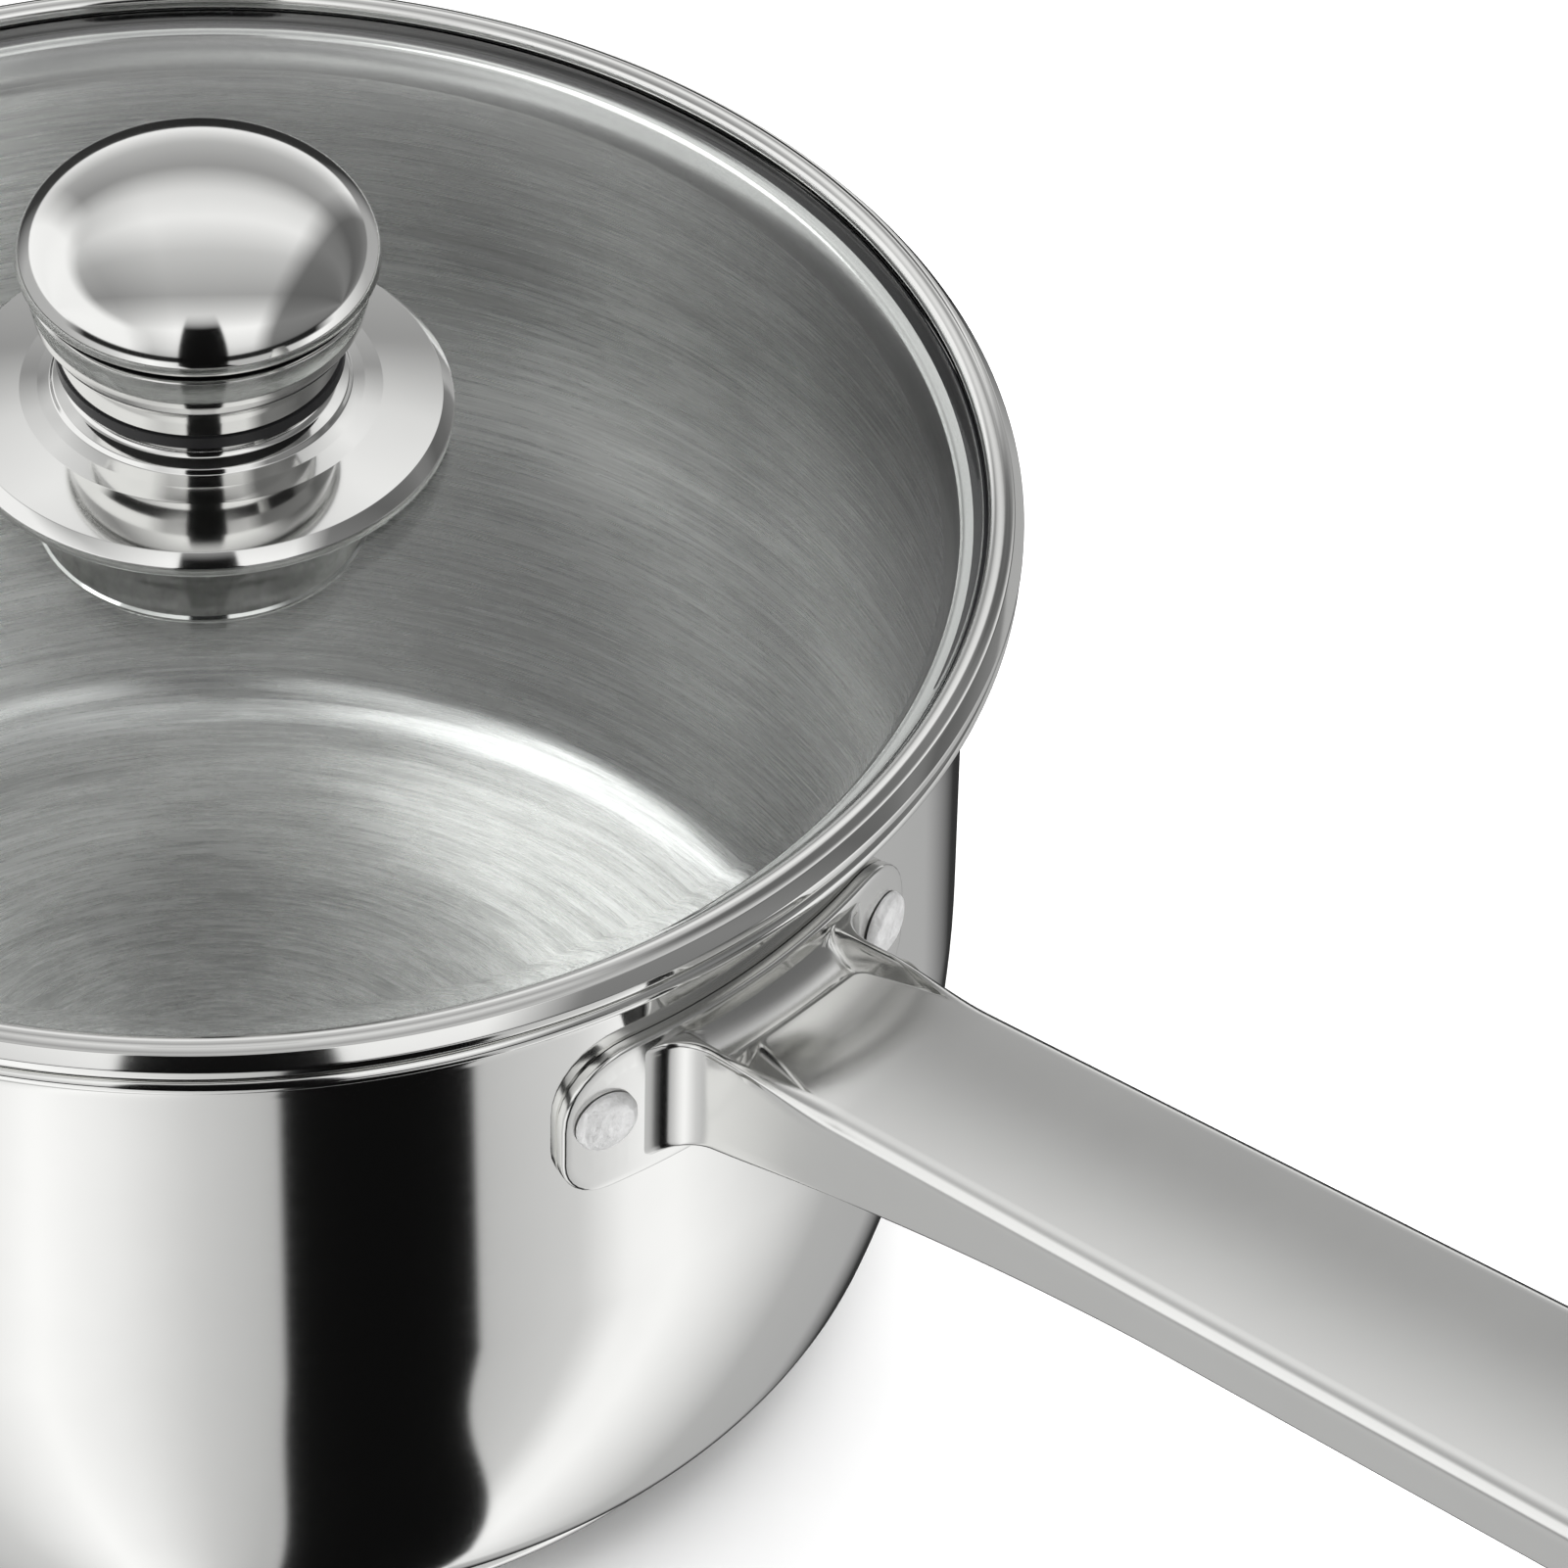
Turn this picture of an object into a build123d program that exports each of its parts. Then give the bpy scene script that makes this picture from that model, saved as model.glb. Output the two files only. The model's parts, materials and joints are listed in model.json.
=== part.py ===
from build123d import *
import os
from math import asin, atan, cos, degrees, radians, sin, sqrt

# Saucepan with a domed glass lid.  Millimetres, +Z up.
# Origin: centre of the base, in the plane that the pan stands on.  The handle points along +X.

os.makedirs("parts", exist_ok=True)

# ---------------------------------------------------------------- driving dimensions
# Pan
inner_radius = 80.0          # half of the nominal 16 cm size
wall = 0.7                   # drawn steel sheet of the pan
belly_height = 50.0          # below this the wall curves inwards
belly_radius = 130.0         # of that slow inward curve
corner_radius = 10.0         # outside, between belly and floor
flare_height = 90.7          # above this the wall turns out to the pouring rim
flare_radius = 5.5
flare_turn = 85.0            # degrees
rim_bead = 0.95              # radius of the rolled edge
# Base
base_height = 5.0            # sandwich base under the pan's own floor
cap_sheet = 0.6
cap_overhang = 2.5           # the base reaches this far outside the flat of the floor
cap_edge = 2.0               # rounding of its lower edge
# Lid
seat_gap = 0.35              # air between the lid ring and the pan's rolled edge
ring_sheet = 0.5
ring_height = 3.5            # from the ring's underside to its top
ring_side = 1.4              # width of the ring's outer side face
ledge_drop = 2.2             # the glass ledge hangs this far below the flange
ledge_width = 3.4
skirt_drop = 2.9             # and the skirt reaches this far below the ledge
skirt_width = 1.6
glass_thickness = 3.5
dome_rise = 13.5
glass_clearance = 0.3        # between glass and ring, filled by the lid seal
glass_hole_radius = 3.6
seal_foot = 1.6              # width of the lid seal's foot under the glass
# Knob
flange_radius = 26.5
flange_gap = 0.3             # between the flange's edge and the glass
flange_edge = 0.9
flange_bevel = 1.2
flange_sheet = 0.7
collar_radius = 13.8
collar_foot = 4.9            # the moulding at the collar's foot stands this far out
collar_foot_height = 4.1     # above the flange's edge
collar_height = 7.4          # from the flange's lower edge to the top of the collar
cup_foot_radius = 14.9
cup_rim_radius = 18.1
cup_height = 9.7
cup_sheet = 0.7
spacer_height = 1.3
spacer_overhang = 0.2        # its black edge stands this far out of the cup's foot
neck_depth = 2.0             # the neck stands this far back from the cup's rim
cap_gap = 1.5                # dark groove between cup and cap
cap_radius = 19.0
cap_height = 10.6
cap_wall = 0.6
cap_roll = 1.4               # rounding of its lower edge
cap_shoulder = 4.3           # radius between its side and its crown
core_clearance = 0.4         # between the cap and the core
insert_radius = 4.2
insert_clearance = 1.0       # between the insert and the cup's floor
boss_radius = 8.0
screw_radius = 2.5
screw_clearance = 0.2        # in the sheets that the screw passes
thread_grip = 11.0           # length of screw inside the core
screw_head_radius = 4.6
screw_head_height = 2.6
washer_height = 1.0
seal_height = 0.8
seal_width = 2.5
under_cup_radius = 17.4
under_cup_depth = 12.0
under_cup_sheet = 0.6
under_cup_round = 2.2
under_cup_step = 1.2
# Handle
handle_half_width = 11.7     # at the pan
tip_half_width = 14.2
tip_round = 12.5             # corners of the tip in plan
shoulder_round = 2.4         # along both sides of the top face
handle_reach = 245.0         # tip, measured from the pan's axis
handle_top_z = 85.6          # top edge at the pan's wall
handle_slope = 0.1435        # rise of the top edge
handle_sheet = 1.2
handle_depth = 7.8           # of the straight outer part
root_depth = 15.6            # at the pan's wall
middle_depth = 10.2          # half way along the root
root_length = 65.0           # over which the depth shrinks
trough_length = 7.0          # sunken strip between the pan and the raised top face
trough_depth = 3.4           # of its bed below the top edge at the pan
groove_length = 14.0         # a groove runs out along each side of the raised top face
groove_width = 2.4
underplate_sheet = 0.8
underplate_inset = 0.6       # the under plate sits this far inside the handle's lower edge
eyelet_radius = 4.5          # bore of the hanging hole
eyelet_wall = 0.8
eyelet_lip = 0.55            # radius of its two rolled lips
eyelet_inset = 14.0          # hole centre to handle tip
# Ears and rivets
ear_half_span = 25.8         # across, from the handle's middle
ear_top_z = 87.3
ear_bottom_z = 68.5
ear_sheet = 1.5
ear_top_round = 8.5
ear_bottom_round = 5.5
rivet_angle = 14.5           # degrees to each side of the handle
rivet_z = 78.6
rivet_shank = 2.4
rivet_head_radius = 3.6
rivet_head_height = 1.3
rivet_seat = 0.1             # the flat heads bear this far off the curved sheets

# ---------------------------------------------------------------- places worked out from them
wall_radius = inner_radius + wall
belly_centre = wall_radius - belly_radius
corner_centre_z = base_height + corner_radius
belly_turn = degrees(asin((belly_height - corner_centre_z) / (belly_radius - corner_radius)))
corner_centre = belly_centre + (belly_radius - corner_radius) * cos(radians(belly_turn))
base_radius = corner_centre + cap_overhang
flare_centre = wall_radius + flare_radius
rim_centre = flare_centre - flare_radius * cos(radians(flare_turn)) - 0.3 * rim_bead
rim_centre_z = flare_height + (flare_radius + wall) * sin(radians(flare_turn)) + 0.9 * rim_bead

ring_bottom_z = rim_centre_z + rim_bead + seat_gap
ring_top_z = ring_bottom_z + ring_height
ring_outer = rim_centre + rim_bead + 0.1
ring_crease = ring_outer - ring_side
ledge_z = ring_bottom_z - ledge_drop
ledge_outer = flare_centre - 0.5 * (flare_radius + wall)
glass_radius = ledge_outer - ring_sheet - glass_clearance
glass_edge_z = ledge_z + ring_sheet + glass_clearance + glass_thickness
dome_radius = (glass_radius**2 + dome_rise**2) / (2 * dome_rise)
dome_centre_z = glass_edge_z + dome_rise - dome_radius
glass_crown_z = glass_edge_z + dome_rise
glass_under_z = glass_crown_z - glass_thickness


def glass_top(radius):
    """Height of the glass's upper face at this distance from the axis."""
    return dome_centre_z + sqrt(dome_radius**2 - radius**2)


def glass_bottom(radius):
    """Height of the glass's lower face at this distance from the axis."""
    return dome_centre_z + sqrt((dome_radius - glass_thickness)**2 - radius**2)


flange_z = glass_top(flange_radius) + flange_gap
flange_rim_z = flange_z + flange_edge
step_radius = collar_radius + collar_foot
step_z = flange_z + collar_foot_height
collar_top_z = flange_z + collar_height
cup_z = collar_top_z + spacer_height
cup_top_z = cup_z + cup_height
neck_radius = cup_rim_radius - neck_depth
cap_z = cup_top_z + cap_gap
# the cap's outline is a shoulder arc and a flatter crown arc that meets it smoothly
cap_edge_z = cap_z + cap_roll
cap_rise = cap_height - cap_roll
crown_radius = (
    ((cap_radius - cap_shoulder)**2 + cap_rise**2 - cap_shoulder**2) / (2 * (cap_rise - cap_shoulder))
)
crown_centre_z = cap_edge_z + cap_rise - crown_radius
crown_start = degrees(atan((crown_radius - cap_rise) / (cap_radius - cap_shoulder)))
insert_top_z = cup_z + thread_grip + 1.0
cup_disc_z = glass_bottom(boss_radius) - seal_height
washer_top_z = cup_disc_z - under_cup_sheet
head_top_z = washer_top_z - washer_height

handle_tilt = atan(handle_slope)
trough_x = wall_radius + trough_length
groove_x = trough_x + groove_length
trough_half = handle_half_width - handle_sheet
eyelet_x = handle_reach - eyelet_inset
eyelet_drop = (handle_depth - underplate_inset) * cos(handle_tilt)


def handle_top(x):
    """Height of the handle's top face."""
    return handle_top_z + handle_slope * (x - wall_radius)


def rivet_plane(side, distance):
    """Plane square to a rivet, at this distance from the pan's axis; side is 1 or -1."""
    turn = radians(side * rivet_angle)
    return Plane(origin=(0, 0, rivet_z), z_dir=(cos(turn), sin(turn), 0)).offset(distance)


def keep(piece, name):
    """Label a finished piece and write it."""
    piece.part.label = name
    export_step(piece.part, f"parts/{name}.step")


# ---------------------------------------------------------------- pan
with BuildPart() as pot_body:
    with BuildSketch(Plane.XZ):
        with BuildLine():
            Line((0, base_height), (corner_centre, base_height))
            CenterArc((corner_centre, corner_centre_z), corner_radius, -90, 90 - belly_turn)
            belly = CenterArc((belly_centre, belly_height), belly_radius, -belly_turn, belly_turn)
            Line(belly @ 1, (wall_radius, flare_height))
            CenterArc((flare_centre, flare_height), flare_radius, 180, -flare_turn)
            offset(amount=wall, side=Side.LEFT)
        make_face()
        with Locations((rim_centre, rim_centre_z)):
            Circle(rim_bead)
    revolve(axis=Axis.Z)
    for side in (-1, 1):
        with BuildSketch(rivet_plane(side, 0)):
            Circle(rivet_shank)
        extrude(amount=2 * wall_radius, mode=Mode.SUBTRACT)
keep(pot_body, "pot_body")

with BuildPart() as base_shell:
    with BuildSketch(Plane.XZ):
        with BuildLine():
            Line((0, 0), (base_radius - cap_edge, 0))
            CenterArc((base_radius - cap_edge, cap_edge), cap_edge, -90, 90)
            Line((base_radius, cap_edge), (base_radius, base_height))
            offset(amount=cap_sheet, side=Side.LEFT)
        make_face()
    revolve(axis=Axis.Z)
keep(base_shell, "base_shell")

with BuildPart() as base_core:
    core_edge = base_radius - cap_sheet
    with BuildSketch(Plane.XZ):
        with BuildLine():
            Polyline((0, base_height), (0, cap_sheet), (base_radius - cap_edge, cap_sheet))
            CenterArc((base_radius - cap_edge, cap_edge), cap_edge - cap_sheet, -90, 90)
            Polyline((core_edge, cap_edge), (core_edge, base_height), (0, base_height))
        make_face()
    revolve(axis=Axis.Z)
keep(base_core, "base_core")

# ---------------------------------------------------------------- handle
# The handle is the overlap of its plan outline and its side outline, hollowed from below.
outline_near = 0.9 * wall_radius
outline_far = handle_reach + handle_depth
outline_half = 2 * tip_half_width
outline_low = ear_bottom_z - root_depth
outline_high = handle_top(outline_far) + handle_depth


def plan_outline(inset):
    """Plan outline of the handle, drawn inside the full one by the inset."""
    slant = (tip_half_width - handle_half_width) / (handle_reach - wall_radius)
    root = handle_half_width - inset - slant * (wall_radius - outline_near)
    tip = tip_half_width - inset
    far = handle_reach - inset
    with BuildSketch() as outline:
        with BuildLine():
            Polyline((outline_near, -root), (far, -tip), (far, tip), (outline_near, root), close=True)
        make_face()
        fillet(outline.vertices().group_by(Axis.X)[-1], tip_round - inset)
    return outline.sketch


def side_outline(inset_top, inset_bottom):
    """Side outline of the handle, drawn inside its top edge and its lower edge by the insets."""
    middle = wall_radius + 0.5 * root_length
    bend = wall_radius + root_length
    root_z = handle_top_z - root_depth + inset_bottom
    with BuildSketch() as outline:
        with BuildLine():
            lower = ThreePointArc(
                (wall_radius, root_z),
                (middle, handle_top(middle) - middle_depth + inset_bottom),
                (bend, handle_top(bend) - handle_depth + inset_bottom),
            )
            Polyline(
                lower @ 1,
                (outline_far, handle_top(outline_far) - handle_depth + inset_bottom),
                (outline_far, handle_top(outline_far) - inset_top),
                (outline_near, handle_top(outline_near) - inset_top),
                (outline_near, root_z),
                lower @ 0,
            )
        make_face()
    return outline.sketch


with BuildPart(mode=Mode.PRIVATE) as handle_hollow:
    with BuildSketch(Plane.XY.offset(outline_low)):
        add(plan_outline(handle_sheet))
    extrude(amount=outline_high - outline_low)
    with BuildSketch(Plane.XZ):
        add(side_outline(handle_sheet, -handle_depth))
    extrude(amount=outline_half, both=True, mode=Mode.INTERSECT)

# saddle with two ears, curved to the wall
with BuildPart(mode=Mode.PRIVATE) as saddle_plate:
    with BuildSketch():
        Circle(wall_radius + ear_sheet)
        Circle(wall_radius, mode=Mode.SUBTRACT)
    extrude(amount=handle_reach)
    with BuildSketch(Plane.YZ) as saddle:
        with Locations((0, (ear_top_z + ear_bottom_z) / 2)):
            Rectangle(2 * ear_half_span, ear_top_z - ear_bottom_z)
        fillet(saddle.vertices().group_by(Axis.Y)[-1], ear_top_round)
        fillet(saddle.vertices().group_by(Axis.Y)[0], ear_bottom_round)
    extrude(amount=handle_reach, mode=Mode.INTERSECT)

eyelet_plane = Plane(
    origin=(eyelet_x, 0, handle_top(eyelet_x)),
    x_dir=(cos(handle_tilt), 0, sin(handle_tilt)),
    z_dir=(-sin(handle_tilt), 0, cos(handle_tilt)),
)

with BuildPart() as handle_shell:
    with BuildSketch(Plane.XY.offset(outline_low)):
        add(plan_outline(0))
    extrude(amount=outline_high - outline_low)
    with BuildSketch(Plane.XZ):
        add(side_outline(0, 0))
    extrude(amount=outline_half, both=True, mode=Mode.INTERSECT)
    # rounded shoulders along the top face
    top_face = handle_shell.faces().filter_by(GeomType.PLANE).sort_by(Axis.Z)[-1]
    fillet(top_face.edges().filter_by(lambda edge: edge.center().X > wall_radius), shoulder_round)
    add(handle_hollow.part, mode=Mode.SUBTRACT)
    with BuildSketch(eyelet_plane):
        Circle(eyelet_radius + eyelet_wall)
    extrude(amount=2 * handle_depth, both=True, mode=Mode.SUBTRACT)
    # sunken strip between the pan and the raised top face, with a groove out along each side
    with BuildSketch(Plane.XY.offset(handle_top_z - trough_depth)):
        with BuildLine():
            Polyline(
                (outline_near, -trough_half), (groove_x, -trough_half),
                (trough_x, groove_width - trough_half), (trough_x, trough_half - groove_width),
                (groove_x, trough_half), (outline_near, trough_half), close=True,
            )
        make_face()
    extrude(amount=root_depth, mode=Mode.SUBTRACT)
    with BuildSketch(Plane.XY.offset(handle_top_z - trough_depth)):
        with Locations((outline_near, 0)):
            Rectangle(groove_x - outline_near, 2 * trough_half, align=(Align.MIN, Align.CENTER))
    extrude(amount=-handle_sheet)
    with BuildSketch(Plane.XY.offset(handle_top_z - trough_depth)):
        with Locations((trough_x, 0)):
            Rectangle(
                handle_sheet, 2 * (trough_half - groove_width), align=(Align.MIN, Align.CENTER),
            )
    extrude(amount=trough_depth)
    add(saddle_plate.part)
    # nothing of the handle enters the pan
    with BuildSketch():
        Circle(wall_radius)
    extrude(amount=handle_reach, mode=Mode.SUBTRACT)
    for side in (-1, 1):
        with BuildSketch(rivet_plane(side, 0)):
            Circle(rivet_shank)
        extrude(amount=2 * wall_radius, mode=Mode.SUBTRACT)
keep(handle_shell, "handle_shell")

with BuildPart() as handle_underplate:
    with BuildSketch(Plane.XY.offset(outline_low)):
        add(plan_outline(handle_sheet))
    extrude(amount=outline_high - outline_low)
    with BuildSketch(Plane.XZ):
        add(side_outline(0, underplate_inset))
        add(side_outline(-handle_depth, underplate_inset + underplate_sheet), mode=Mode.SUBTRACT)
    extrude(amount=outline_half, both=True, mode=Mode.INTERSECT)
    with BuildSketch():
        Circle(wall_radius + ear_sheet)
    extrude(amount=handle_reach, mode=Mode.SUBTRACT)
    with BuildSketch(eyelet_plane):
        Circle(eyelet_radius + eyelet_wall)
    extrude(amount=2 * handle_depth, both=True, mode=Mode.SUBTRACT)
keep(handle_underplate, "handle_underplate")

with BuildPart() as hanging_eyelet:
    with BuildSketch(eyelet_plane.offset(-eyelet_drop - eyelet_lip)):
        Circle(eyelet_radius + eyelet_wall)
        Circle(eyelet_radius, mode=Mode.SUBTRACT)
    extrude(amount=eyelet_drop + 2 * eyelet_lip)
    for lip_height in (-eyelet_drop - eyelet_lip, eyelet_lip):
        with BuildSketch(Plane(
            origin=eyelet_plane.offset(lip_height).origin,
            x_dir=eyelet_plane.x_dir,
            z_dir=(0, -1, 0),
        )):
            with Locations((eyelet_radius + eyelet_wall, 0)):
                Circle(eyelet_lip)
        revolve(axis=Axis(eyelet_plane.origin, eyelet_plane.z_dir))
keep(hanging_eyelet, "hanging_eyelet")

for side, name in ((1, "rivet_left"), (-1, "rivet_right")):
    inner_seat = inner_radius - rivet_seat
    outer_seat = wall_radius + ear_sheet + rivet_seat
    with BuildPart() as rivet:
        with BuildSketch(rivet_plane(side, inner_seat)):
            Circle(rivet_shank)
        extrude(amount=outer_seat - inner_seat)
        for seat, way in ((inner_seat, -1), (outer_seat, 1)):
            with BuildSketch(rivet_plane(side, seat)):
                Circle(rivet_head_radius)
            extrude(amount=way * rivet_head_height)
        along = Axis((0, 0, rivet_z), rivet_plane(side, 0).z_dir)
        rims = rivet.edges().filter_by(GeomType.CIRCLE).sort_by(along)
        fillet([rims[0], rims[-1]], 0.7 * rivet_head_height)
    keep(rivet, name)

# ---------------------------------------------------------------- lid
with BuildPart() as lid_ring:
    with BuildSketch(Plane.XZ):
        bead_inner = glass_radius + 0.4
        with BuildLine():
            bead = ThreePointArc(
                (bead_inner, glass_edge_z + 0.1),
                ((bead_inner + ring_crease) / 2, ring_top_z + 0.25),
                (ring_crease, ring_top_z - 0.4),
            )
            outer_side = Line(bead @ 1, (ring_outer - 0.1, ring_top_z - 2.0))
            hem = ThreePointArc(
                outer_side @ 1, (ring_outer, ring_bottom_z + 0.6), (ring_outer - 0.7, ring_bottom_z),
            )
            Polyline(
                hem @ 1, (ledge_outer, ring_bottom_z), (ledge_outer, ledge_z),
                (ledge_outer - ledge_width, ledge_z),
                (ledge_outer - ledge_width - skirt_width, ledge_z - skirt_drop),
            )
            offset(amount=ring_sheet, side=Side.LEFT)
        make_face()
    revolve(axis=Axis.Z)
keep(lid_ring, "lid_ring")

with BuildPart() as lid_glass:
    with BuildSketch(Plane.XZ):
        half = glass_radius / 2
        with BuildLine():
            top = ThreePointArc((0, glass_crown_z), (half, glass_top(half)), (glass_radius, glass_edge_z))
            edge = Line(top @ 1, (glass_radius, glass_bottom(glass_radius)))
            bottom = ThreePointArc(edge @ 1, (half, glass_bottom(half)), (0, glass_under_z))
            Line(bottom @ 1, top @ 0)
        make_face()
    revolve(axis=Axis.Z)
    with BuildSketch():
        Circle(glass_hole_radius)
    extrude(amount=2 * glass_crown_z, mode=Mode.SUBTRACT)
keep(lid_glass, "lid_glass")

with BuildPart() as lid_seal:
    # soft strip between the glass edge and the ring, with a foot under the glass
    foot_inner = glass_radius - seal_foot
    seal_outer = ledge_outer - ring_sheet
    seal_top_z = glass_edge_z - 0.4
    with BuildSketch(Plane.XZ):
        with BuildLine():
            Polyline(
                (glass_radius, seal_top_z), (glass_radius, glass_bottom(glass_radius)),
                (foot_inner, glass_bottom(foot_inner)), (foot_inner, ledge_z + ring_sheet),
                (seal_outer, ledge_z + ring_sheet), (seal_outer, seal_top_z), close=True,
            )
        make_face()
    revolve(axis=Axis.Z)
keep(lid_seal, "lid_seal")

# ---------------------------------------------------------------- knob
with BuildPart() as knob_base_plate:
    with BuildSketch(Plane.XZ):
        with BuildLine():
            foot_outer = (step_radius + 0.6, step_z - 0.5)
            foot_inner_top = (step_radius - 0.8, step_z + 0.1)
            collar_foot_top = (collar_radius, step_z + 2.0)
            Polyline(
                (flange_radius, flange_z), (flange_radius, flange_rim_z),
                (flange_radius - flange_bevel, flange_rim_z + flange_bevel), foot_outer,
            )
            ThreePointArc(foot_outer, (step_radius, step_z), foot_inner_top)
            ThreePointArc(foot_inner_top, (collar_radius + 1.2, step_z + 0.6), collar_foot_top)
            Polyline(collar_foot_top, (collar_radius, collar_top_z), (0, collar_top_z))
            offset(amount=flange_sheet, side=Side.LEFT)
        make_face()
    revolve(axis=Axis.Z)
    with BuildSketch():
        Circle(screw_radius + screw_clearance)
    extrude(amount=2 * collar_top_z, mode=Mode.SUBTRACT)
keep(knob_base_plate, "knob_base_plate")

with BuildPart() as upper_seal:
    # soft ring between the glass and the flange of the knob
    ring_seal_outer = flange_radius - seal_width
    ring_seal_inner = ring_seal_outer - seal_width
    ring_seal_z = glass_top(ring_seal_inner)
    with BuildSketch(Plane.XZ):
        with BuildLine():
            Polyline(
                (ring_seal_outer, ring_seal_z), (ring_seal_outer, flange_rim_z + 0.4),
                (ring_seal_inner, flange_rim_z + 0.8), (ring_seal_inner, ring_seal_z), close=True,
            )
        make_face()
    revolve(axis=Axis.Z)
keep(upper_seal, "upper_seal")

with BuildPart() as knob_boss:
    # spacer inside the collar, with a spigot that centres the glass
    with BuildSketch(Plane.XY.offset(glass_crown_z)):
        Circle(boss_radius)
    extrude(amount=collar_top_z - flange_sheet - glass_crown_z)
    with BuildSketch(Plane.XY.offset(glass_under_z + 0.2 * glass_thickness)):
        Circle(glass_hole_radius - 0.1)
    extrude(amount=0.8 * glass_thickness)
    with BuildSketch(Plane.XY.offset(glass_under_z)):
        Circle(screw_radius)
    extrude(amount=collar_top_z - glass_under_z, mode=Mode.SUBTRACT)
keep(knob_boss, "knob_boss")

with BuildPart() as knob_spacer:
    with BuildSketch(Plane.XY.offset(collar_top_z)):
        Circle(cup_foot_radius + spacer_overhang)
        Circle(insert_radius, mode=Mode.SUBTRACT)
    extrude(amount=spacer_height)
keep(knob_spacer, "knob_spacer")

with BuildPart() as knob_cup:
    # stepped sleeve: foot, waist, rim
    with BuildSketch(Plane.XZ):
        with BuildLine():
            Polyline(
                (insert_radius + insert_clearance, cup_z), (cup_foot_radius, cup_z),
                (cup_foot_radius + 0.5, cup_z + 0.32 * cup_height),
                (cup_foot_radius + 1.5, cup_z + 0.45 * cup_height),
                (cup_rim_radius - 0.7, cup_z + 0.62 * cup_height), (cup_rim_radius, cup_top_z),
            )
            offset(amount=cup_sheet, side=Side.LEFT)
        make_face()
    revolve(axis=Axis.Z)
keep(knob_cup, "knob_cup")

with BuildPart() as knob_cap:
    with BuildSketch(Plane.XZ):
        with BuildLine():
            CenterArc((cap_radius - cap_roll, cap_edge_z), cap_roll, -90, 90)
            CenterArc((cap_radius - cap_shoulder, cap_edge_z), cap_shoulder, 0, crown_start)
            CenterArc((0, crown_centre_z), crown_radius, crown_start, 90 - crown_start)
            offset(amount=cap_wall, side=Side.LEFT)
        make_face()
    revolve(axis=Axis.Z)
keep(knob_cap, "knob_cap")

with BuildPart() as knob_core:
    # heat-resistant core inside cup and cap; its neck shows as the dark groove between them
    core_foot = cup_foot_radius - 2 * cup_sheet
    core_inset = cap_wall + core_clearance
    with BuildSketch(Plane.XZ):
        with BuildLine():
            Polyline(
                (0, insert_top_z), (insert_radius, insert_top_z), (insert_radius, cup_z + cup_sheet),
                (core_foot, cup_z + cup_sheet), (core_foot, cup_z + 0.5 * cup_height),
                (neck_radius, cup_z + 0.8 * cup_height), (neck_radius, cap_z + cap_wall),
                (cap_radius - core_inset, cap_edge_z),
            )
            CenterArc(
                (cap_radius - cap_shoulder, cap_edge_z), cap_shoulder - core_inset, 0, crown_start,
            )
            crown = CenterArc(
                (0, crown_centre_z), crown_radius - core_inset, crown_start, 90 - crown_start,
            )
            Line(crown @ 1, (0, insert_top_z))
        make_face()
    revolve(axis=Axis.Z)
keep(knob_core, "knob_core")

with BuildPart() as knob_insert:
    with BuildSketch(Plane.XY.offset(collar_top_z)):
        Circle(insert_radius)
        Circle(screw_radius, mode=Mode.SUBTRACT)
    extrude(amount=insert_top_z - collar_top_z)
keep(knob_insert, "knob_insert")

# ---------------------------------------------------------------- fastening under the glass
with BuildPart() as lower_seal:
    with BuildSketch(Plane.XY.offset(cup_disc_z)):
        Circle(boss_radius)
        Circle(screw_radius, mode=Mode.SUBTRACT)
    extrude(amount=seal_height)
keep(lower_seal, "lower_seal")

with BuildPart() as under_cup:
    # steel cup under the glass, open downwards, with a rounded shoulder, a step and a rolled lip
    cup_neck = under_cup_radius - under_cup_step
    under_cup_z = cup_disc_z - under_cup_depth
    with BuildSketch(Plane.XZ):
        with BuildLine():
            disc = Line(
                (screw_radius + screw_clearance, cup_disc_z), (cup_neck - under_cup_round, cup_disc_z),
            )
            bend = CenterArc(
                (cup_neck - under_cup_round, cup_disc_z - under_cup_round), under_cup_round, 90, -90,
            )
            Polyline(
                bend @ 1,
                (cup_neck + 0.2, cup_disc_z - 0.42 * under_cup_depth),
                (under_cup_radius - 0.3, cup_disc_z - 0.5 * under_cup_depth),
                (under_cup_radius, under_cup_z),
            )
            offset(amount=under_cup_sheet, side=Side.RIGHT)
        make_face()
        with Locations((under_cup_radius - 0.5 * under_cup_sheet, under_cup_z)):
            Circle(under_cup_sheet)
    revolve(axis=Axis.Z)
keep(under_cup, "under_cup")

with BuildPart() as spring_washer:
    with BuildSketch(Plane.XY.offset(head_top_z)):
        Circle(screw_head_radius)
        Circle(screw_radius + screw_clearance, mode=Mode.SUBTRACT)
        Rectangle(
            2 * screw_head_radius, washer_height, align=(Align.MIN, Align.CENTER), mode=Mode.SUBTRACT,
        )
    extrude(amount=washer_height)
keep(spring_washer, "spring_washer")

with BuildPart() as knob_screw:
    head_z = head_top_z - screw_head_height
    with BuildSketch(Plane.XY.offset(head_z)):
        Circle(screw_head_radius)
    extrude(amount=screw_head_height)
    fillet(knob_screw.edges().group_by(Axis.Z)[0], 0.5 * screw_head_height)
    with BuildSketch(Plane.XY.offset(head_top_z)):
        Circle(screw_radius)
    extrude(amount=insert_top_z - 1.0 - head_top_z)
    # cross recess
    with BuildSketch(Plane.XY.offset(head_z)):
        Rectangle(1.3 * screw_head_radius, 0.2 * screw_head_radius)
        Rectangle(0.2 * screw_head_radius, 1.3 * screw_head_radius)
    extrude(amount=0.6 * screw_head_height, mode=Mode.SUBTRACT)
keep(knob_screw, "knob_screw")
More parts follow.
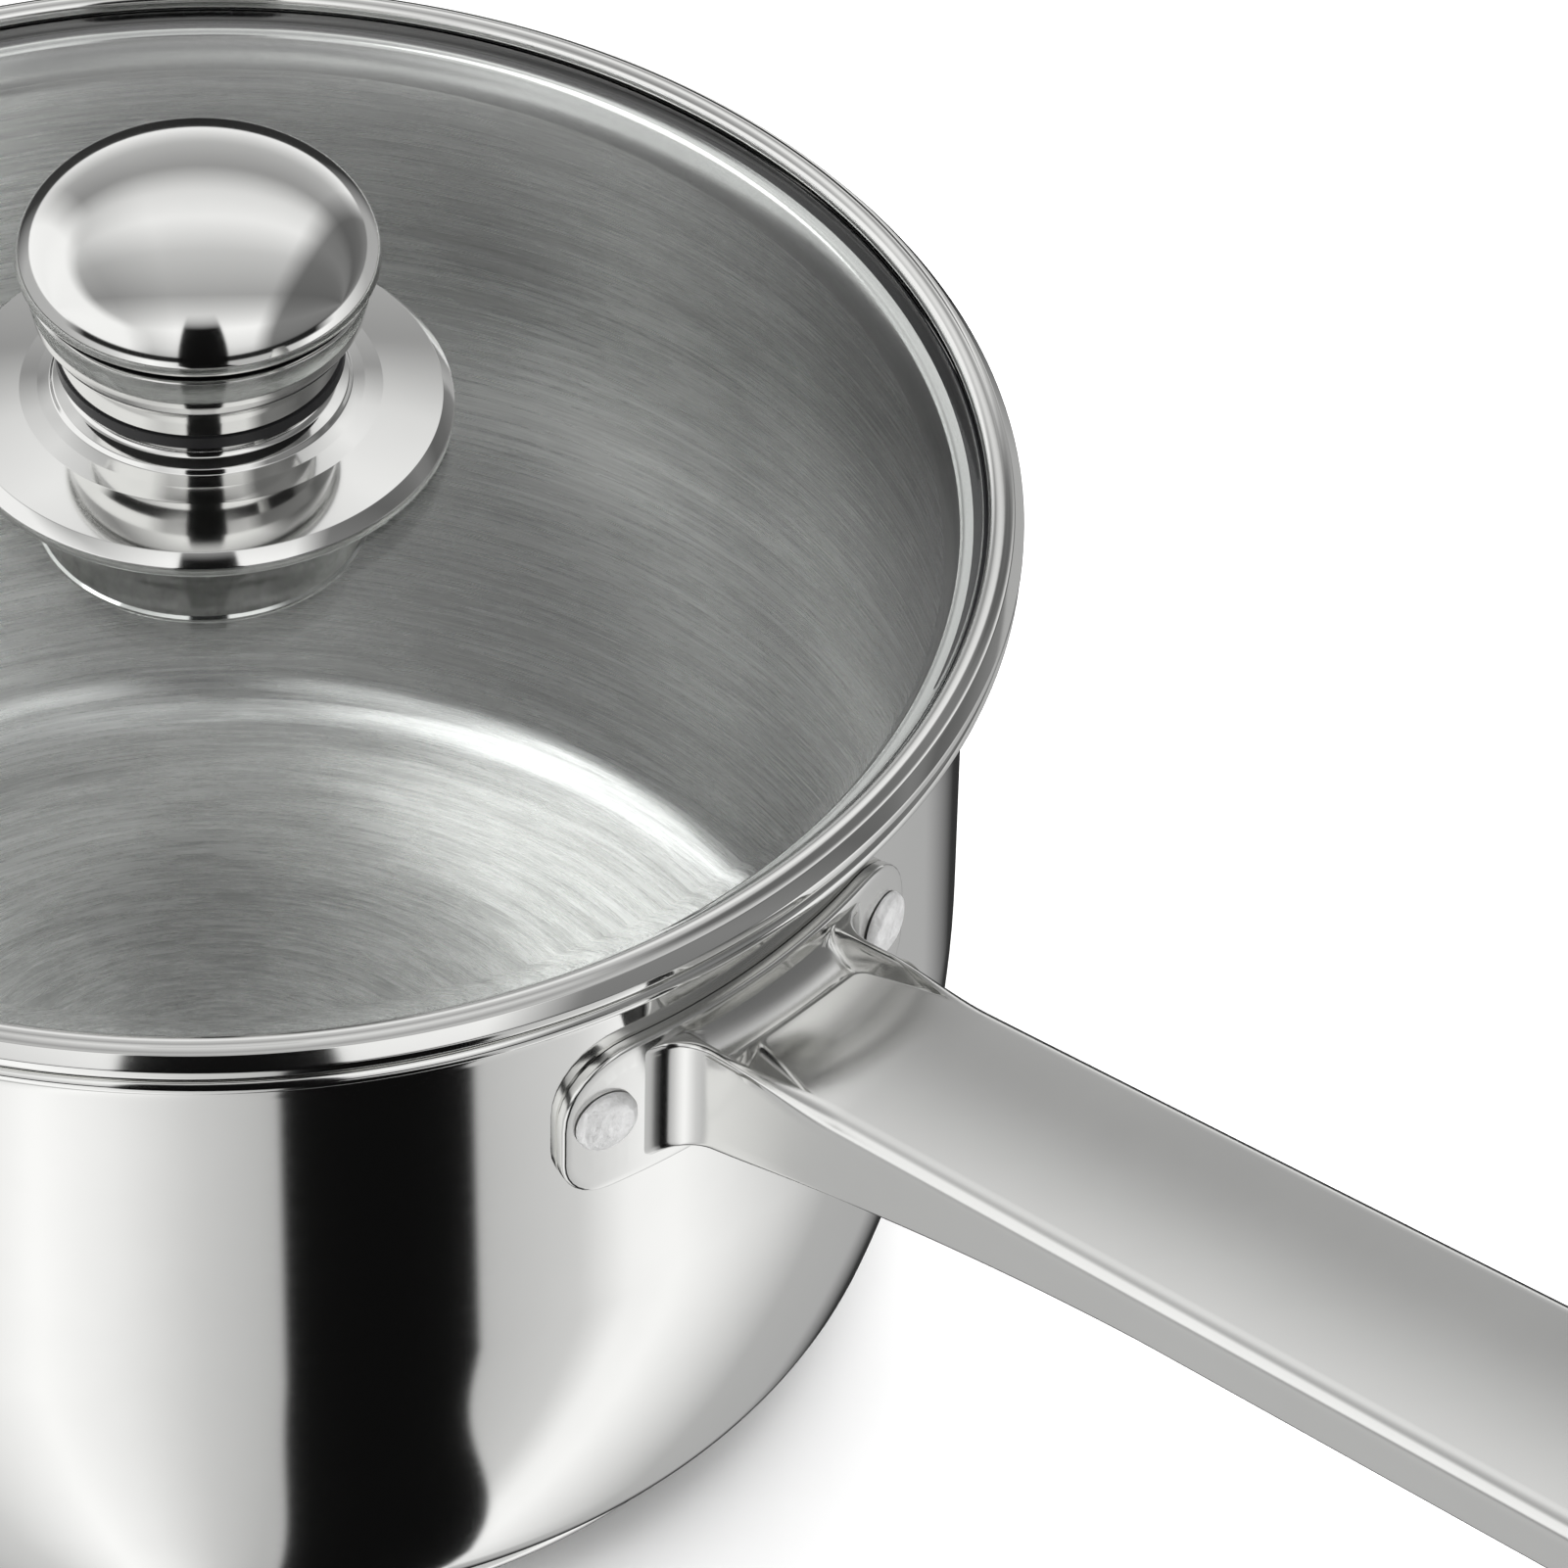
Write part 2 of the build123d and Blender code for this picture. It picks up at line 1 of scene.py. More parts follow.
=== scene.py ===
"""Looks for a steel saucepan with a glass lid: turned sheet, pressed handle, knob, glass and studio."""
import functools
import json
import math

import bmesh
import bpy
from bpy.props import FloatProperty, FloatVectorProperty, IntProperty, PointerProperty
from mathutils import Matrix, Vector

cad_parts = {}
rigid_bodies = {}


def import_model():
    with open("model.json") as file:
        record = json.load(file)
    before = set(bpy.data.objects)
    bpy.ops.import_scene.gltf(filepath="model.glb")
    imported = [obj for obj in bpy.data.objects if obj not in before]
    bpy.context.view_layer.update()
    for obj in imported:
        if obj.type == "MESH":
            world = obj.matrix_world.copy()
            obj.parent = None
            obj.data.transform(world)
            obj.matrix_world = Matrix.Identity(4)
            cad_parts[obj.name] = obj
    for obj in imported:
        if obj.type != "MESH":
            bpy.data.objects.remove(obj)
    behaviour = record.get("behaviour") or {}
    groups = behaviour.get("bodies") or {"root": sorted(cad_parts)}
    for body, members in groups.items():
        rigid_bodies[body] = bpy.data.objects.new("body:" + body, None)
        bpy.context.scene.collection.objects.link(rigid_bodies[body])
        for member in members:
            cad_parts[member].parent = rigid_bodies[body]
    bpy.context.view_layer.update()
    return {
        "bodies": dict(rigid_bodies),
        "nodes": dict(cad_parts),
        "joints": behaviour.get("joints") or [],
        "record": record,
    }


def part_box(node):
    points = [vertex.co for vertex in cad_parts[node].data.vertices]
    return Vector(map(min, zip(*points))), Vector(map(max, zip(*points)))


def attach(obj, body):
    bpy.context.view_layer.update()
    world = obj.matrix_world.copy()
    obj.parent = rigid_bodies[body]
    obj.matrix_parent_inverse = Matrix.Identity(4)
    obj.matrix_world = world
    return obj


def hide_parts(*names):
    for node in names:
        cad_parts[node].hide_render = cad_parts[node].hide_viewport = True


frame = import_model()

bl_info = {
    "name": "Saucepan Maker",
    "version": (1, 0, 0),
    "blender": (4, 5, 0),
    "location": "3D View > Sidebar > Saucepan",
    "description": "Builds the pieces, finishes and studio of a saucepan with a glass lid",
    "category": "Object",
}

MM = 0.001
RIM_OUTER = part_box("pot_body")[1][0]
RIM_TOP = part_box("pot_body")[1][2]
BASE_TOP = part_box("base_shell")[1][2]
BASE_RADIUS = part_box("base_shell")[1][0]
RING_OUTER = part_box("lid_ring")[1][0]
RING_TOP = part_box("lid_ring")[1][2]
RING_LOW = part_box("lid_ring")[0][2]
GLASS_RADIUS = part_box("lid_glass")[1][0]
GLASS_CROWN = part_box("lid_glass")[1][2]
FLANGE_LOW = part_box("knob_base_plate")[0][2]
FLANGE_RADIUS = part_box("knob_base_plate")[1][0]
COLLAR_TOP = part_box("knob_base_plate")[1][2]
CUP_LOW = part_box("knob_cup")[0][2]
CAP_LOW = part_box("knob_cap")[0][2]
CAP_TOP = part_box("knob_cap")[1][2]
CAP_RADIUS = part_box("knob_cap")[1][0]
UNDER_CUP_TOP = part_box("under_cup")[1][2]
UNDER_CUP_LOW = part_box("under_cup")[0][2]
UNDER_CUP_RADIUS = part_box("under_cup")[1][0]
HANDLE_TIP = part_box("handle_shell")[1][0] - 0.15 * MM
EAR_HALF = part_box("handle_shell")[1][1]
EAR_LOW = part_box("handle_shell")[0][2]
SCREW_HOLE = 2.7 * MM


def metres(name, text, default):
    """A length property."""
    return FloatProperty(
        name=name, description=text, default=default, precision=5, unit="LENGTH", subtype="DISTANCE",
    )


def degrees(name, text, default):
    """An angle property, given here in degrees."""
    return FloatProperty(
        name=name, description=text, default=math.radians(default), subtype="ANGLE", unit="ROTATION",
    )


def colour(name, text, default):
    """A colour property."""
    return FloatVectorProperty(
        name=name, description=text, default=default, size=3, min=0.0, max=1.0, subtype="COLOR",
    )


class PanSizes(bpy.types.PropertyGroup):
    """Sizes of the pan and its base."""

    wall_radius: metres("Wall radius", "Outside of the upright wall", 80.7 * MM)
    sheet: metres("Sheet", "Thickness of the drawn sheet", 0.7 * MM)
    belly_height: metres("Belly height", "Below this the wall curves inwards", 50.0 * MM)
    belly_radius: metres("Belly radius", "Radius of the slow inward curve", 130.0 * MM)
    corner_radius: metres("Corner radius", "Radius between belly and floor", 10.0 * MM)
    flare_height: metres("Flare height", "Above this the wall turns out", 90.7 * MM)
    flare_radius: metres("Flare radius", "Radius of the pouring rim", 5.5 * MM)
    rim_bead: metres("Rim bead", "Radius of the rolled edge", 0.95 * MM)
    segments: IntProperty(name="Segments", description="Steps round a turned piece", default=288, min=24)


class LidSizes(bpy.types.PropertyGroup):
    """Sizes of the lid's ring and glass."""

    ring_sheet: metres("Ring sheet", "Thickness of the ring's steel", 0.5 * MM)
    ring_side: metres("Ring side", "Width of the outer face", 1.4 * MM)
    flange_drop: metres("Flange drop", "From the top of the ring to its underside", 3.5 * MM)
    ledge_drop: metres("Ledge drop", "From the flange to the glass ledge", 2.2 * MM)
    ledge_width: metres("Ledge width", "Width of the ledge under the glass", 3.4 * MM)
    skirt_width: metres("Skirt width", "How far the skirt leans in", 1.6 * MM)
    glass_thickness: metres("Glass thickness", "Thickness of the pane", 3.5 * MM)
    glass_rise: metres("Glass rise", "Height of the dome", 13.5 * MM)
    glass_hole: metres("Glass hole", "Radius of the hole for the screw", 3.6 * MM)


class KnobSizes(bpy.types.PropertyGroup):
    """Sizes of the knob above the glass and the cup below it."""

    collar_radius: metres("Collar radius", "Radius of the upright collar", 13.8 * MM)
    collar_foot: metres("Collar foot", "How far the moulding stands out", 4.9 * MM)
    cup_foot: metres("Cup foot", "Radius of the sleeve's foot", 14.9 * MM)
    cup_rim: metres("Cup rim", "Radius of the sleeve's rim", 18.1 * MM)
    neck_depth: metres("Neck depth", "How far the dark neck stands back", 2.0 * MM)
    sheet: metres("Sheet", "Thickness of the knob's steel", 0.7 * MM)
    cap_roll: metres("Cap roll", "Rounding of the cap's lower edge", 1.0 * MM)
    cap_gap: metres("Cap gap", "Dark groove between the sleeve and the cap", 1.5 * MM)


class HandleSizes(bpy.types.PropertyGroup):
    """Sizes of the pressed handle, its ears and rivets."""

    half_width: metres("Half width", "At the pan", 11.7 * MM)
    tip_half_width: metres("Tip half width", "At the tip", 14.2 * MM)
    tip_round: metres("Tip round", "Corner radius of the tip", 12.5 * MM)
    top_height: metres("Top height", "Top edge at the pan's wall", 85.6 * MM)
    slope: FloatProperty(name="Slope", description="Rise of the handle along its length", default=0.1435)
    depth: metres("Depth", "Of the straight outer part", 7.8 * MM)
    root_depth: metres("Root depth", "At the pan's wall", 15.6 * MM)
    middle_depth: metres("Middle depth", "Half way along the root", 10.2 * MM)
    root_length: metres("Root length", "Over which the depth shrinks", 65.0 * MM)
    sheet: metres("Sheet", "Thickness of the pressed steel", 1.2 * MM)
    shoulder: metres("Shoulder", "Rounding along the top face", 2.4 * MM)
    camber: metres("Camber", "How far the middle of the top face stands above its sides", 0.5 * MM)
    valley_depth: metres("Valley depth", "Depth of the sunken strip at the root", 3.4 * MM)
    island_start: metres("Island start", "Raised face begins this far from the wall", 7.2 * MM)
    island_side: metres("Island side", "Groove width where the raised face begins", 3.4 * MM)
    groove_length: metres("Groove length", "Length of the grooves beside the raised face", 14.0 * MM)
    ear_sheet: metres("Ear sheet", "Thickness of the ears", 1.5 * MM)
    ear_top_round: metres("Ear top round", "Upper corner radius of the ears", 8.5 * MM)
    ear_low_round: metres("Ear low round", "Lower corner radius of the ears", 5.5 * MM)
    ear_top: metres("Ear top", "Height of the ears' upper edge", 87.3 * MM)
    rivet_angle: degrees("Rivet angle", "Each rivet's turn from the handle", 14.5)
    rivet_height: metres("Rivet height", "Height of the rivets", 78.6 * MM)
    rivet_head: metres("Rivet head", "Radius of a rivet's head", 3.6 * MM)
    rivet_shank: metres("Rivet shank", "Radius of a rivet's shank", 2.4 * MM)
    eyelet_inset: metres("Eyelet inset", "Hanging hole's centre to the tip", 14.0 * MM)
    eyelet_bore: metres("Eyelet bore", "Radius of the hanging hole", 4.5 * MM)


class Finishes(bpy.types.PropertyGroup):
    """Colours of the finishes."""

    steel: colour("Steel", "Polished steel", (0.80, 0.80, 0.785))
    brushed: colour("Brushed steel", "Inside of the pan", (0.84, 0.84, 0.825))
    rivet: colour("Rivet metal", "Soft rivet metal", (0.92, 0.92, 0.91))
    glass: colour("Glass", "Tint of the pane", (0.975, 0.99, 0.985))
    black: colour("Black plastic", "Heat-resistant mouldings", (0.012, 0.012, 0.013))
    seal: colour("Seal", "Soft seals", (0.006, 0.006, 0.007))
    brass: colour("Brass", "Threaded insert", (0.78, 0.60, 0.28))
    aluminium: colour("Aluminium", "Core of the base", (0.72, 0.72, 0.73))
    floor: colour("Floor", "Studio floor", (0.93, 0.93, 0.93))


class StageSettings(bpy.types.PropertyGroup):
    """Camera and light."""

    distance: metres("Distance", "Camera to the pan's axis, level", 865.6 * MM)
    height: metres("Height", "Camera above the floor", 855.4 * MM)
    azimuth: degrees("Azimuth", "Camera round the pan, from the handle", -43.2)
    look_azimuth: degrees("Look azimuth", "Direction of sight on the level", 132.70)
    look_down: degrees("Look down", "Direction of sight below the level", 42.573)
    roll: degrees("Roll", "Turn about the line of sight", 1.446)
    lens: FloatProperty(name="Lens", description="Focal length in millimetres", default=249.66)


# ---------------------------------------------------------------- node writing


class Wire:
    """A node socket that arithmetic can be written with."""

    def __init__(self, graph, socket):
        self.graph = graph
        self.socket = socket

    def _math(self, operation, first, second=None):
        inputs = {0: first} if second is None else {0: first, 1: second}
        return self.graph.add(self.graph.math_kind, {"operation": operation}, inputs)

    def __add__(self, other):
        return self._math("ADD", self, other)

    def __radd__(self, other):
        return self._math("ADD", other, self)

    def __sub__(self, other):
        return self._math("SUBTRACT", self, other)

    def __rsub__(self, other):
        return self._math("SUBTRACT", other, self)

    def __mul__(self, other):
        return self._math("MULTIPLY", self, other)

    def __rmul__(self, other):
        return self._math("MULTIPLY", other, self)

    def __truediv__(self, other):
        return self._math("DIVIDE", self, other)

    def __pow__(self, other):
        return self._math("POWER", self, other)

    def do(self, operation, other=None):
        """Any other Math node with this value first."""
        return self._math(operation, self, other)


class Graph:
    """Writes nodes into a tree."""

    math_kind = "ShaderNodeMath"

    def __init__(self, tree):
        self.tree = tree

    def add(self, kind, settings=None, inputs=None, output=0):
        """Adds one node: its settings first, then its socket values or links."""
        node = self.tree.nodes.new(kind)
        for key, value in (settings or {}).items():
            setattr(node, key, value)
        for key, value in (inputs or {}).items():
            if isinstance(value, Wire):
                self.tree.links.new(value.socket, node.inputs[key])
            else:
                node.inputs[key].default_value = value
        if output is None:
            return node
        return Wire(self, node.outputs[output])

    def ramp(self, value, stops):
        """A colour ramp through (place, grey or colour) stops."""
        node = self.add("ShaderNodeValToRGB", None, {0: value}, None)
        band = node.color_ramp
        for number, (place, shade) in enumerate(stops):
            stop = band.elements[number] if number < 2 else band.elements.new(place)
            stop.position = place
            stop.color = (*shade, 1.0) if isinstance(shade, tuple) else (shade, shade, shade, 1.0)
        return Wire(self, node.outputs[0])

    def mix(self, factor, first, second):
        """A colour between two colours."""
        return self.add(
            "ShaderNodeMix", {"data_type": "RGBA"}, {0: factor, 6: first, 7: second}, 2,
        )


class Finish(Graph):
    """One material made of a Principled shader and the nodes that feed it."""

    def __init__(self, name, **constants):
        self.material = bpy.data.materials.new("finish_" + name)
        self.material.use_nodes = True
        super().__init__(self.material.node_tree)
        self.tree.nodes.clear()
        self.shader = self.add("ShaderNodeBsdfPrincipled", None, None, None)
        for key, value in constants.items():
            self.shader.inputs[key.replace("_", " ")].default_value = value
        out = self.add("ShaderNodeOutputMaterial", None, None, None)
        self.tree.links.new(self.shader.outputs[0], out.inputs[0])
        self.place = self.add("ShaderNodeTexCoord", None, None, "Object")

    def feed(self, **inputs):
        """Links values to the shader's sockets."""
        for key, value in inputs.items():
            self.tree.links.new(value.socket, self.shader.inputs[key.replace("_", " ")])

    def noise(self, scale, detail=3.0, rough=0.5, vector=None):
        """Noise on the piece, with its scale in features per metre."""
        return self.add(
            "ShaderNodeTexNoise", None,
            {"Vector": vector or self.place, "Scale": scale, "Detail": detail, "Roughness": rough},
        )

    def split(self, vector=None):
        """The three parts of a vector."""
        node = self.add("ShaderNodeSeparateXYZ", None, {0: vector or self.place}, None)
        return [Wire(self, socket) for socket in node.outputs]

    def turned(self, across, around):
        """Streaks that run round the Z axis: fine across, long around."""
        x, y, z = self.split()
        radius = (x * x + y * y).do("SQRT")
        safe = radius.do("MAXIMUM", 1e-5)
        vector = self.add(
            "ShaderNodeCombineXYZ", None, {0: x / safe * around, 1: y / safe * around, 2: radius * across},
        )
        return self.add(
            "ShaderNodeTexNoise", {"noise_dimensions": "4D"},
            {"Vector": vector, "W": z * across, "Scale": 1.0, "Detail": 4.0, "Roughness": 0.65},
        )

    def bump(self, height, distance, strength=1.0):
        """Small relief, with its depth in metres."""
        self.feed(Normal=self.add(
            "ShaderNodeBump", None, {"Height": height, "Distance": distance, "Strength": strength},
        ))


def tinted(graph, factor, base, low, high):
    """The base colour scaled between two brightnesses by a factor."""
    dark = (*(channel * low for channel in base), 1.0)
    light = (*(min(channel * high, 1.0) for channel in base), 1.0)
    return graph.mix(factor, dark, light)


def polished_steel(name, base, roughness=0.05, lines=0.0):
    """Mirror steel with faint wipe marks, and fine turning lines if asked for."""
    finish = Finish(name, Metallic=1.0)
    cloud = finish.noise(38.0, 4.0, 0.6)
    fine = finish.noise(900.0, 2.0, 0.5)
    streak = finish.turned(2600.0, 2.0)
    finish.feed(
        Base_Color=tinted(finish, cloud, base, 0.95, 1.05),
        Roughness=roughness + cloud * 0.02 + fine * 0.015 + streak * (0.02 + lines),
    )
    finish.bump(streak * lines + cloud * 0.02, 0.01 * MM)
    return finish.material


def brushed_steel(name, base):
    """Satin steel, brushed round the axis."""
    finish = Finish(name, Metallic=1.0)
    fine = finish.turned(2100.0, 5.0)
    broad = finish.turned(380.0, 3.0)
    cloud = finish.noise(22.0, 3.0, 0.55)
    mixed = fine * 0.6 + broad * 0.4
    contrast = ((mixed - 0.5) * 3.2 + 0.5) * 0.85 + cloud * 0.15
    finish.feed(
        Base_Color=tinted(finish, contrast, base, 0.50, 1.2),
        Roughness=0.17 + fine * 0.14 + cloud * 0.06,
    )
    finish.bump(fine * 0.5 + broad * 0.5, 0.012 * MM)
    return finish.material


def hammered_metal(name, base):
    """Soft rivet metal with upset marks from the setting tool."""
    finish = Finish(name, Metallic=0.55)
    dents = finish.noise(480.0, 5.0, 0.7)
    cells = finish.add(
        "ShaderNodeTexVoronoi", {"feature": "SMOOTH_F1"}, {"Vector": finish.place, "Scale": 900.0},
    )
    finish.feed(
        Base_Color=tinted(finish, dents, base, 0.55, 1.15),
        Roughness=0.28 + dents * 0.25,
    )
    finish.bump(dents * 0.8 + cells * 0.5, 0.35 * MM)
    return finish.material


def lid_glass(name, base):
    """Clear tempered glass with faint wipe marks."""
    finish = Finish(name, Transmission_Weight=1.0, IOR=1.5)
    cloud = finish.noise(30.0, 4.0, 0.6)
    finish.feed(
        Base_Color=tinted(finish, cloud, base, 0.99, 1.01),
        Roughness=(cloud - 0.55).do("MAXIMUM", 0.0) * 0.05,
    )
    return finish.material


def moulded(name, base, roughness, grain):
    """Plastic or rubber with a fine grain."""
    finish = Finish(name, Metallic=0.0)
    fine = finish.noise(grain, 3.0, 0.6)
    cloud = finish.noise(60.0, 3.0, 0.5)
    finish.feed(
        Base_Color=tinted(finish, cloud, base, 0.8, 1.3),
        Roughness=roughness + fine * 0.15 + cloud * 0.1,
    )
    finish.bump(fine, 0.02 * MM)
    return finish.material


def turned_metal(name, base):
    """Plain machined metal with tool lines round the axis."""
    finish = Finish(name, Metallic=1.0)
    lines = finish.turned(3500.0, 1.0)
    cloud = finish.noise(80.0, 3.0, 0.5)
    finish.feed(
        Base_Color=tinted(finish, lines * 0.6 + cloud * 0.4, base, 0.85, 1.12),
        Roughness=0.28 + lines * 0.2,
    )
    finish.bump(lines, 0.02 * MM)
    return finish.material


FINISH_MAKERS = {
    "steel_polished": (polished_steel, "steel"),
    "steel_satin": (polished_steel, "steel", 0.13, 0.02),
    "steel_turned": (polished_steel, "steel", 0.07, 0.05),
    "steel_brushed": (brushed_steel, "brushed"),
    "rivet_metal": (hammered_metal, "rivet"),
    "glass": (lid_glass, "glass"),
    "black_plastic": (moulded, "black", 0.3, 2200.0),
    "seal": (moulded, "seal", 0.5, 3000.0),
    "brass": (turned_metal, "brass"),
    "aluminium": (turned_metal, "aluminium"),
}


@functools.cache
def finish_for(key):
    """The finish of this name, made once."""
    maker, base, *values = FINISH_MAKERS[key]
    return maker(key, getattr(bpy.context.scene.pan_finishes, base), *values)


# ---------------------------------------------------------------- outlines


def arc(centre, radius, start, turn, steps=10):
    """Points along an arc; angles in degrees, anticlockwise from +r."""
    points = []
    for step in range(steps + 1):
        angle = math.radians(start + turn * step / steps)
        points.append((centre[0] + radius * math.cos(angle), centre[1] + radius * math.sin(angle)))
    return points


def rounded(corners, steps=6):
    """A path through (r, z, rounding) corners, with each corner rounded by an arc."""
    points = []
    for number, (r, z, rounding) in enumerate(corners):
        here = Vector((r, z))
        if rounding <= 0 or number in (0, len(corners) - 1):
            points.append((r, z))
            continue
        back = (Vector(corners[number - 1][:2]) - here).normalized()
        ahead = (Vector(corners[number + 1][:2]) - here).normalized()
        half = back.angle(ahead) / 2
        reach = rounding / math.tan(half)
        centre = here + (back + ahead).normalized() * (rounding / math.sin(half))
        first = here + back * reach - centre
        sweep = first.angle_signed(here + ahead * reach - centre)
        for step in range(steps + 1):
            spoke = first.copy()
            spoke.rotate(Matrix.Rotation(-sweep * step / steps, 2))
            points.append(tuple(centre + spoke))
    return points


def sheet(path, thickness, cap_steps=4):
    """The closed outline of a sheet whose outer face is the path; the sheet lies to its left."""
    inner = []
    for number, point in enumerate(path):
        before = Vector(path[max(number - 1, 0)])
        after = Vector(path[min(number + 1, len(path) - 1)])
        here = Vector(point)
        one = (here - before).normalized() if number else (after - here).normalized()
        two = (after - here).normalized() if number < len(path) - 1 else one
        along = (one + two).normalized()
        left = Vector((-along.y, along.x))
        stretch = 1 / max(left.dot(Vector((-one.y, one.x))), 0.5)
        inner.append(tuple(here + left * thickness * stretch))
    outline = list(path)
    if path[-1][0] > 1e-6:
        outline += end_cap(path[-1], inner[-1], cap_steps)
    outline += inner[::-1]
    if path[0][0] > 1e-6:
        outline += end_cap(inner[0], path[0], cap_steps)
        outline.append(path[0])
    return outline


def sheet_right(path, thickness):
    """As sheet, for a path that has the sheet on its right: drawn mirrored and turned back."""
    mirrored = [(1.0 - r, z) for r, z in path]
    return [(1.0 - r, z) for r, z in sheet(mirrored, thickness)]


def end_cap(start, end, steps):
    """Points of the half circle that closes a sheet's edge, turning left from start to end."""
    start, end = Vector(start), Vector(end)
    centre = (start + end) / 2
    spoke = start - centre
    points = []
    for step in range(1, steps):
        turned_spoke = spoke.copy()
        turned_spoke.rotate(Matrix.Rotation(math.pi * step / steps, 2))
        points.append(tuple(centre + turned_spoke))
    return points


# ---------------------------------------------------------------- geometry nodes


class Weave(Graph):
    """Writes a Geometry Nodes tree with named inputs."""

    def __init__(self, name, **sockets):
        tree = bpy.data.node_groups.new(name, "GeometryNodeTree")
        super().__init__(tree)
        tree.interface.new_socket("Geometry", in_out="INPUT", socket_type="NodeSocketGeometry")
        self.keys = {}
        for key, kind in sockets.items():
            label = key.replace("_", " ").capitalize()
            item = tree.interface.new_socket(label, in_out="INPUT", socket_type="NodeSocket" + kind)
            self.keys[key] = item.identifier
        tree.interface.new_socket("Geometry", in_out="OUTPUT", socket_type="NodeSocketGeometry")
        start = self.add("NodeGroupInput", None, None, None)
        self.source = Wire(self, start.outputs[0])
        self.inputs = {key: Wire(self, start.outputs[1 + n]) for n, key in enumerate(sockets)}

    def end(self, geometry, material):
        """Realize Instances, Set Material and the output."""
        real = self.add("GeometryNodeRealizeInstances", None, {0: geometry})
        coated = self.add("GeometryNodeSetMaterial", None, {"Geometry": real, "Material": material})
        self.add("NodeGroupOutput", None, {0: coated}, None)


@functools.cache
def turning_tree():
    """Turns a profile, drawn as a mesh line in the XZ plane, round the Z axis."""
    weave = Weave("Turned Sheet", segments="Int", finish="Material")
    count = weave.add("GeometryNodeAttributeDomainSize", {"component": "MESH"}, {0: weave.source})
    grid = weave.add(
        "GeometryNodeMeshGrid", None,
        {"Size X": 1.0, "Size Y": 1.0, "Vertices X": count, "Vertices Y": weave.inputs["segments"] + 1},
    )
    place = weave.add("GeometryNodeInputPosition")
    split = weave.add("ShaderNodeSeparateXYZ", None, {0: place}, None)
    along = (Wire(weave, split.outputs[0]) + 0.5) * (count - 1)
    turn = (Wire(weave, split.outputs[1]) + 0.5) * math.tau
    picked = weave.add(
        "GeometryNodeSampleIndex", {"data_type": "FLOAT_VECTOR"},
        {"Geometry": weave.source, "Value": place, "Index": along.do("ROUND")},
    )
    profile = weave.add("ShaderNodeSeparateXYZ", None, {0: picked}, None)
    radius = Wire(weave, profile.outputs[0])
    spot = weave.add(
        "ShaderNodeCombineXYZ", None,
        {0: radius * turn.do("COSINE"), 1: radius * turn.do("SINE"), 2: Wire(weave, profile.outputs[2])},
    )
    moved = weave.add("GeometryNodeSetPosition", None, {"Geometry": grid, "Position": spot})
    merged = weave.add("GeometryNodeMergeByDistance", None, {"Geometry": moved, "Distance": 0.002 * MM})
    smooth = weave.add("GeometryNodeSetShadeSmooth", None, {"Geometry": merged})
    weave.end(smooth, weave.inputs["finish"])
    return weave


@functools.cache
def rivet_tree():
    """Sets copies of one rivet round the pan, from minus to plus the angle."""
    weave = Weave("Rivet Row", count="Int", angle="Float", height="Float", finish="Material")
    gap = weave.inputs["count"] - 1
    line = weave.add("GeometryNodeMeshLine", None, {"Count": weave.inputs["count"], "Offset": (0, 0, 0)})
    number = weave.add("GeometryNodeInputIndex")
    turn = (number / gap * 2.0 - 1.0) * weave.inputs["angle"]
    way = weave.add("ShaderNodeCombineXYZ", None, {2: turn})
    lift = weave.add("ShaderNodeCombineXYZ", None, {2: weave.inputs["height"]})
    raised = weave.add("GeometryNodeSetPosition", None, {"Geometry": line, "Position": lift})
    copies = weave.add(
        "GeometryNodeInstanceOnPoints", None,
        {"Points": raised, "Instance": weave.source, "Rotation": way},
    )
    weave.end(copies, weave.inputs["finish"])
    return weave


def woven(name, mesh, weave, **values):
    """Runs a tree on a mesh and returns the plain mesh that comes out."""
    source = bpy.data.objects.new(name + "_source", mesh)
    bpy.context.collection.objects.link(source)
    modifier = source.modifiers.new(weave.tree.name, "NODES")
    modifier.node_group = weave.tree
    for key, value in values.items():
        modifier[weave.keys[key]] = value
    source.update_tag()
    bpy.context.view_layer.update()
    evaluated = source.evaluated_get(bpy.context.evaluated_depsgraph_get())
    result = bpy.data.meshes.new_from_object(evaluated)
    source.modifiers.remove(modifier)
    bpy.data.objects.remove(source)
    return result


# ---------------------------------------------------------------- pieces


def outward(mesh):
    """Merges a closed mesh's doubles and makes its faces point out."""
    shape = bmesh.new()
    shape.from_mesh(mesh)
    bmesh.ops.remove_doubles(shape, verts=shape.verts, dist=0.002 * MM)
    bmesh.ops.dissolve_degenerate(shape, edges=shape.edges, dist=0.001 * MM)
    bmesh.ops.recalc_face_normals(shape, faces=shape.faces)
    shape.to_mesh(mesh)
    shape.free()


def keep(name, mesh, body, finish, replaced, sharp=35.0):
    """Turns a mesh into a finished piece that rides on a body and stands for CAD nodes."""
    if not mesh.polygons:
        raise RuntimeError(f"{name} came out empty")
    outward(mesh)
    mesh.shade_smooth()
    mesh.set_sharp_from_angle(angle=math.radians(sharp))
    if not mesh.materials:
        mesh.materials.append(finish_for(finish))
    piece = bpy.data.objects.new(name, mesh)
    bpy.context.collection.objects.link(piece)
    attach(piece, body)
    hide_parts(*replaced)
    return piece


def turned_mesh(name, outline, finish, segments):
    """A mesh turned from a closed outline of (r, z) points."""
    line = bpy.data.meshes.new(name + "_profile")
    line.from_pydata(
        [(max(r, 0.0), 0.0, z) for r, z in outline], [(n, n + 1) for n in range(len(outline) - 1)], [],
    )
    return woven(name, line, turning_tree(), segments=segments, finish=finish_for(finish))


